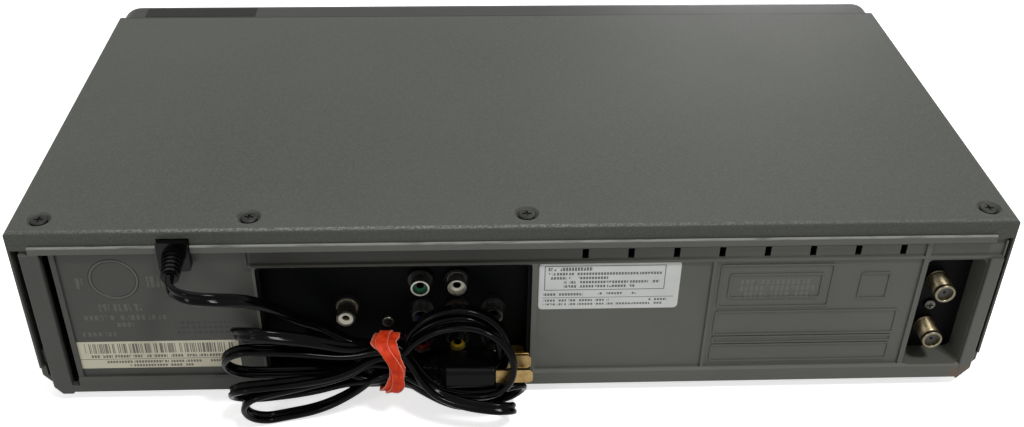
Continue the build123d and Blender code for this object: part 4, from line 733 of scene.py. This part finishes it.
def material_table():
    """The finish of each of the record's material slots, and of the pieces that differ from theirs."""
    table = {
        "case_plastic": case_finish(),
        "cover_paint": cover_finish(),
        "cord_vinyl": vinyl_finish(),
        "red_rubber": red_rubber_finish(),
        "insert_plastic": insert_finish(),
        "aerial_nickel": aerial_finish(),
        "button_plastic": key_finish(),
        "cream_label": paper_finish(
            "cream_label", srgb(216, 211, 189), srgb(44, 43, 40), cream_rows, cream_rules, cream_bars
        ),
        "white_label": paper_finish(
            "white_label", srgb(226, 228, 225), srgb(30, 31, 32), white_rows, white_rules()
        ),
    }
    # Dark and light colour, roughness, scale and depth of the grain, specular level
    plain = {
        "front_plastic": (srgb(48, 49, 47), srgb(58, 59, 56), 0.42, 1900.0, 0.00003, 0.15),
        "door_plastic": (srgb(60, 61, 59), srgb(71, 72, 69), 0.42, 1900.0, 0.00003, 0.3),
        "front_strip": (srgb(24, 24, 22), srgb(34, 34, 31), 0.5, 1900.0, 0.00003, 0.10),
        "black_plastic": (srgb(2, 3, 3), srgb(5, 6, 6), 0.5, 1600.0, 0.00004, 0.04),
        "black_paint": (srgb(2, 2, 2), srgb(6, 6, 6), 0.5, 1600.0, 0.00004, 0.06),
        "plug_vinyl": (srgb(3, 3, 3), srgb(8, 8, 8), 0.30, 900.0, 0.00001, 0.08),
        "boot_rubber": (srgb(4, 4, 4), srgb(9, 9, 9), 0.22, 1200.0, 0.00002, 0.14),
        "gloss_black": (srgb(9, 10, 11), srgb(14, 15, 17), 0.12, 300.0, 0.000002, 0.16),
        "rubber": (srgb(16, 16, 16), srgb(30, 30, 29), 0.55, 1200.0, 0.00005, 0.4),
        "board": (srgb(120, 92, 48), srgb(150, 118, 66), 0.5, 500.0, 0.00002, 0.5),
        "green_board": (srgb(26, 88, 48), srgb(36, 110, 62), 0.4, 500.0, 0.00002, 0.5),
        "glass": (srgb(30, 42, 40), srgb(46, 60, 57), 0.08, 200.0, 0.000001, 0.5),
        "white_plastic": (srgb(212, 211, 204), srgb(228, 227, 220), 0.4, 900.0, 0.00002, 0.5),
        "ferrite": (srgb(50, 47, 44), srgb(72, 68, 63), 0.6, 1400.0, 0.00005, 0.5),
    }
    for name, finish in plain.items():
        table[name] = grained(name, *finish)
    # Dark and light colour, roughness
    bright = {
        "screw_steel": (srgb(44, 44, 42), srgb(66, 66, 63), 0.55),
        "dull_brass": (srgb(112, 92, 58), srgb(154, 130, 86), 0.34),
        "nickel_screw": (srgb(58, 57, 53), srgb(92, 90, 85), 0.34),
        "nickel": (srgb(112, 110, 103), srgb(158, 155, 147), 0.28),
        "brass": (srgb(176, 136, 70), srgb(226, 190, 120), 0.30),
        "steel": (srgb(150, 150, 150), srgb(186, 186, 186), 0.36),
        "aluminium": (srgb(188, 189, 192), srgb(214, 215, 218), 0.28),
    }
    for name, finish in bright.items():
        table[name] = metal(name, *finish)
    return table


def add_piece(name, bm, body, material, smooth=True):
    """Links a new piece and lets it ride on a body."""
    mesh = bpy.data.meshes.new(name)
    bm.to_mesh(mesh)
    bm.free()
    for polygon in mesh.polygons:
        polygon.use_smooth = smooth
    made = bpy.data.objects.new(name, mesh)
    mesh.materials.append(material)
    bpy.context.scene.collection.objects.link(made)
    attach(made, body)
    return made


def hank_place(across, up, out):
    """A place in the hank: across to the right seen from behind, up its lean, out from the wall."""
    lean = math.radians(hank_lean)
    x, y, z = hank_middle
    return Vector(
        (
            x - across,
            y - up * math.sin(lean) + out * math.cos(lean),
            z + up * math.cos(lean) + out * math.sin(lean),
        )
    )


def hank_way(across, up, out):
    """A direction in the hank."""
    return (hank_place(across, up, out) - hank_place(0, 0, 0)).normalized()


def lobe_outline(reach, half):
    """One loop from the waist round its fold and back: how far it has run and how far to the side."""
    straight = reach - half
    legs = [(straight * along, half * across) for along, across in leg_shares]
    angles = [math.pi * step / fold_steps for step in range(fold_steps + 1)]
    fold = [(straight + half * math.sin(angle), half * math.cos(angle)) for angle in angles]
    return legs + fold + [(run, -spread) for run, spread in reversed(legs)]


def lobe_route(side, level, tilt, reach, half, roll, tip_out, sag):
    """Control points of one loop of the hank, with the cord's wide way at each."""
    turn = math.radians(tilt)
    rolled = math.radians(roll)
    flat = hank_way(0, 0, -1)
    wide = hank_way(side * math.sin(turn) * math.sin(rolled), math.sin(rolled), -math.cos(rolled))
    route = []
    for run, spread in lobe_outline(reach, half):
        along = run / reach
        tall = side * spread * math.cos(rolled)
        place = hank_place(
            side * (run * math.cos(turn) - tall * math.sin(turn)),
            run * math.sin(turn) + tall * math.cos(turn) - sag * math.sin(math.pi * along),
            level + tip_out * along**2 + side * spread * math.sin(rolled),
        )
        place = place + hank_way(0, 1, 0) * waist_lift * (1 - along)
        place.z = max(place.z, hank_rest)
        route.append((place, flat.lerp(wide, min(1.0, along * fold_turn_pace)).normalized()))
    return route


def hank_route():
    """Control points of the whole hank, with the cord's wide way at each: the waist draws the loops in."""
    flat = hank_way(0, 0, -1)
    layer_ends = len(lobes) // 2
    route = [(hank_place(*place), flat) for place in hank_start]
    for index, lobe in enumerate(lobes):
        side = 1 if index % 2 == 0 else -1
        level = 0.0 if index < layer_ends else hank_layer
        route += lobe_route(side, level, *lobe)
        if index < len(waist_rises):
            rise = waist_lift - side * waist_rises[index]
            middle = level if index != layer_ends - 1 else hank_layer / 2
            route.append((hank_place(side * waist_half, rise, middle), flat))
            route.append((hank_place(-side * waist_half, rise, middle), flat))
    return route + [(hank_place(*place), flat) for place in hank_end]


def route_line(points):
    """Points along the smooth line through a cord's route."""
    curve = bpy.data.curves.new("cord_route", "CURVE")
    curve.dimensions = "3D"
    curve.resolution_u = cord_line_steps
    spline = curve.splines.new("NURBS")
    spline.points.add(len(points) - 1)
    for point, place in zip(spline.points, points):
        point.co = (*place, 1.0)
    spline.order_u = 3
    spline.use_endpoint_u = True
    holder = bpy.data.objects.new("cord_route", curve)
    bpy.context.scene.collection.objects.link(holder)
    bpy.context.view_layer.update()
    mesh = bpy.data.meshes.new_from_object(holder)
    line = [vertex.co.copy() for vertex in mesh.vertices]
    bpy.data.objects.remove(holder)
    bpy.data.curves.remove(curve)
    bpy.data.meshes.remove(mesh)
    return line


def twin_section():
    """The cord's outline: two round cores side by side with a groove between them."""
    radius = cord_thick / 2
    centre = cord_wide / 2 - radius
    open_angle = math.radians(groove_angle)
    outline = []
    for side in (1, -1):
        for step in range(cord_section_steps):
            share = step / (cord_section_steps - 1)
            angle = -math.pi + open_angle + share * (2 * math.pi - 2 * open_angle)
            if side < 0:
                angle += math.pi
            outline.append((side * centre + radius * math.cos(angle), radius * math.sin(angle)))
    return outline


def make_cord(materials):
    """The flat two-core cord from its boot to the plug as one tube, and its middle line."""
    upright = Vector((0, 0, 1))
    flat = hank_way(0, 0, -1)
    lead = [Vector(boot_tip), *[Vector(place) for place in lead_route]]
    turns = [upright.lerp(flat, index / len(lead)).normalized() for index in range(len(lead))]
    hank = hank_route()
    turns += [wide for place, wide in hank]
    line = route_line(lead + [place for place, wide in hank])
    outline = twin_section()
    bm = bmesh.new()
    rings = []
    for index, place in enumerate(line):
        ahead = line[min(index + 1, len(line) - 1)]
        behind = line[max(index - 1, 0)]
        along = (ahead - behind).normalized()
        part = index / (len(line) - 1) * (len(turns) - 1)
        first = min(int(part), len(turns) - 2)
        wide = turns[first].lerp(turns[first + 1], part - first)
        wide = (wide - along * wide.dot(along)).normalized()
        twist = twist_most * noise.noise(Vector((index * twist_pace, *twist_seed)))
        wide = Matrix.Rotation(twist * min(1.0, part / len(lead)), 3, along) @ wide
        thin = along.cross(wide)
        rings.append([bm.verts.new(place + wide * a + thin * b) for a, b in outline])
    for first, second in zip(rings, rings[1:]):
        for corner in range(len(outline)):
            after = (corner + 1) % len(outline)
            bm.faces.new((first[corner], first[after], second[after], second[corner]))
    bm.faces.new(rings[0])
    bm.faces.new(rings[-1])
    bmesh.ops.recalc_face_normals(bm, faces=bm.faces)
    cord = add_piece("power_cord", bm, "case", materials["cord_vinyl"])
    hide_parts("power_cord_lead", "power_cord_hank")
    return cord, line


def band_ribbon(bm, width, flare, lift, slant, seed):
    """One turn of crumpled rubber ribbon round the waist."""
    bm.loops.layers.uv.verify()
    made = bmesh.ops.create_grid(
        bm, x_segments=band_steps, y_segments=band_steps_across, size=1.0, calc_uvs=True
    )
    for vertex in made["verts"]:
        turn = (vertex.co.x + 1) * math.pi
        across = vertex.co.y
        round_way = Vector((math.cos(turn), math.sin(turn), 0))
        wave = noise.noise(round_way * band_wave_pace + Vector((0, 0, seed)))
        fine = noise.noise(round_way * band_fine_pace + Vector((0, 0, seed + across * band_fine_slope)))
        round_out = abs(math.cos(turn) / band_out) ** band_corners
        round_up = abs(math.sin(turn) / band_up) ** band_corners
        reach = (round_out + round_up) ** (-1 / band_corners)
        reach = reach + lift + band_ripple * fine * (1 - across**2)
        out = reach * math.cos(turn)
        up = reach * math.sin(turn)
        level = up / band_up
        facing = max(0.0, math.cos(turn) * band_face_gain + band_face_start)
        middle = min(1.0, facing) * band_shift * (1 - band_bow * level**2)
        middle = middle + slant * math.sin(turn) + band_waver * wave
        spread = width / 2 * (1 + band_wave_share * wave + band_fine_share * fine)
        if across < 0:
            spread += flare * max(0.0, level) ** band_flare_power
        vertex.co = hank_place(middle + across * spread, up + waist_lift - band_drop, out)
    bmesh.ops.remove_doubles(bm, verts=bm.verts, dist=ribbon_weld)


def make_band(materials):
    """A red rubber band: two turns that cross, the wider one flared to the left at the top."""
    bm = bmesh.new()
    for ribbon in band_turns:
        band_ribbon(bm, *ribbon)
    bmesh.ops.recalc_face_normals(bm, faces=bm.faces)
    bmesh.ops.solidify(bm, geom=bm.faces, thickness=band_thick)
    bmesh.ops.recalc_face_normals(bm, faces=bm.faces)
    band = add_piece("rubber_band", bm, "case", materials["red_rubber"])
    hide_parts("cord_band")
    return band


def make_label(name, low, high, corner, materials):
    """A thin label with round corners, from its lowest to its highest corner."""
    size = Vector(high) - Vector(low)
    thin = min(range(3), key=lambda axis: size[axis])
    bm = bmesh.new()
    bmesh.ops.create_cube(bm, size=1.0)
    bmesh.ops.scale(bm, verts=bm.verts, vec=size)
    short = []
    for edge in bm.edges:
        first, second = edge.verts
        if abs(first.co[thin] - second.co[thin]) > size[thin] / 2:
            short.append(edge)
    bmesh.ops.bevel(
        bm,
        geom=short,
        offset=corner,
        offset_type="OFFSET",
        affect="EDGES",
        segments=label_segments,
        profile=0.5,
        material=-1,
    )
    bmesh.ops.translate(bm, verts=bm.verts, vec=(Vector(low) + Vector(high)) / 2)
    add_piece(name, bm, "case", materials[name], smooth=False)


def make_labels(materials):
    """Two paper labels on the rear wall and a bare dark strip on top of the front panel."""
    back = wall_y - label_thick
    front = wall_y + label_thick
    papers = (("cream_label", cream_edges, cream_corner), ("white_label", white_edges, white_corner))
    for name, (left, right, low, high), corner in papers:
        make_label(name, (right, back, low), (left, front, high), corner, materials)
    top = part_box("front_panel")[1].z
    left, right, near, far = strip_edges
    lowest = (right, far, top - label_thick)
    highest = (left, near, top + label_thick)
    make_label("front_strip", lowest, highest, strip_corner, materials)


def aerial_profile():
    """Half outline of a threaded aerial connector: how far from its axis and how far back."""
    outline = [*aerial_foot]
    for turn in range(thread_turns):
        start = thread_start + turn * thread_pitch
        outline += [(thread_root, start), (thread_crest, start + thread_pitch / 2)]
    return outline + [*aerial_mouth]


def make_aerials(materials):
    """Two threaded connectors with a plain rim and a dark filling."""
    bm = bmesh.new()
    for z in aerial_levels:
        middle = Vector((aerial_x, tuner_y, z))
        chain = [bm.verts.new(middle + Vector((far, back, 0))) for far, back in aerial_profile()]
        edges = [bm.edges.new(pair) for pair in zip(chain, chain[1:])]
        bmesh.ops.spin(
            bm,
            geom=chain + edges,
            cent=middle,
            axis=(0, 1, 0),
            angle=math.tau,
            steps=aerial_steps,
            use_merge=True,
        )
    bmesh.ops.remove_doubles(bm, verts=bm.verts, dist=thread_weld)
    bmesh.ops.recalc_face_normals(bm, faces=bm.faces)
    made = add_piece("aerial_threads", bm, "case", materials["aerial_nickel"], smooth=False)
    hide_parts("aerial_connectors")


def make_floor():
    """A pale floor under the part."""
    bm = bmesh.new()
    bmesh.ops.create_grid(bm, x_segments=1, y_segments=1, size=floor_half)
    mesh = bpy.data.meshes.new("floor")
    bm.to_mesh(mesh)
    bm.free()
    floor = bpy.data.objects.new("floor", mesh)
    bpy.context.scene.collection.objects.link(floor)
    mesh.materials.append(floor_finish())


def make_lamps():
    """Soft square lamps, each turned to what it looks at."""
    for name, place, target, size, power in lamps:
        lamp = bpy.data.lights.new(name, "AREA")
        lamp.energy = power
        lamp.size = size
        holder = bpy.data.objects.new(name, lamp)
        holder.location = place
        way = Vector(target) - Vector(place)
        holder.rotation_euler = way.to_track_quat("-Z", "Y").to_euler()
        bpy.context.scene.collection.objects.link(holder)


def make_world():
    """A surround that is white to the eye and dimmer as a light."""
    world = bpy.data.worlds.new("studio")
    bpy.context.scene.world = world
    world.use_nodes = True
    tree = world.node_tree
    background = tree.nodes["Background"]
    background.inputs["Color"].default_value = (1.0, 1.0, 1.0, 1.0)
    rays = tree.nodes.new("ShaderNodeLightPath")
    seen = rays.outputs["Is Camera Ray"]
    for ray in ("Is Glossy Ray", "Is Transmission Ray"):
        either = tree.nodes.new("ShaderNodeMath")
        either.operation = "MAXIMUM"
        tree.links.new(seen, either.inputs[0])
        tree.links.new(rays.outputs[ray], either.inputs[1])
        seen = either.outputs[0]
    level = tree.nodes.new("ShaderNodeMapRange")
    level.inputs["To Min"].default_value = world_light
    level.inputs["To Max"].default_value = 1.0
    tree.links.new(seen, level.inputs["Value"])
    tree.links.new(level.outputs[0], background.inputs["Strength"])


def make_camera():
    """The camera that sees the part as the photograph does."""
    view = bpy.data.cameras.new("camera")
    view.lens = camera_lens
    view.sensor_width = camera_sensor
    view.sensor_fit = "HORIZONTAL"
    view.shift_x, view.shift_y = camera_shift
    view.clip_start = camera_near
    camera = bpy.data.objects.new("camera", view)
    axes = Matrix((camera_right, camera_up, camera_back)).transposed().to_4x4()
    camera.matrix_world = Matrix.Translation(camera_place) @ axes
    bpy.context.scene.collection.objects.link(camera)
    bpy.context.scene.camera = camera
    bpy.context.scene.view_settings.view_transform = "Standard"


def dress_nodes(materials):
    """Gives every carried-over node the finish of its slot, or its own where that differs."""
    own = {
        "tuner_box": "black_paint",
        "strain_relief": "boot_rubber",
        "rear_screws": "nickel_screw",
        "plug_blades": "dull_brass",
        "power_plug": "plug_vinyl",
        "cassette_door": "door_plastic",
        "tray_fascia": "door_plastic",
    }
    own.update({name: "button_plastic" for name in key_marks})
    for part in frame["record"]["subparts"]:
        mesh = nodes[part["node"]].data
        mesh.materials.clear()
        mesh.materials.append(materials[own.get(part["node"], part["material_slot"])])


materials = material_table()
dress_nodes(materials)
make_floor()
make_lamps()
make_world()
make_camera()
cord, cord_line = make_cord(materials)
band = make_band(materials)
make_aerials(materials)
make_labels(materials)
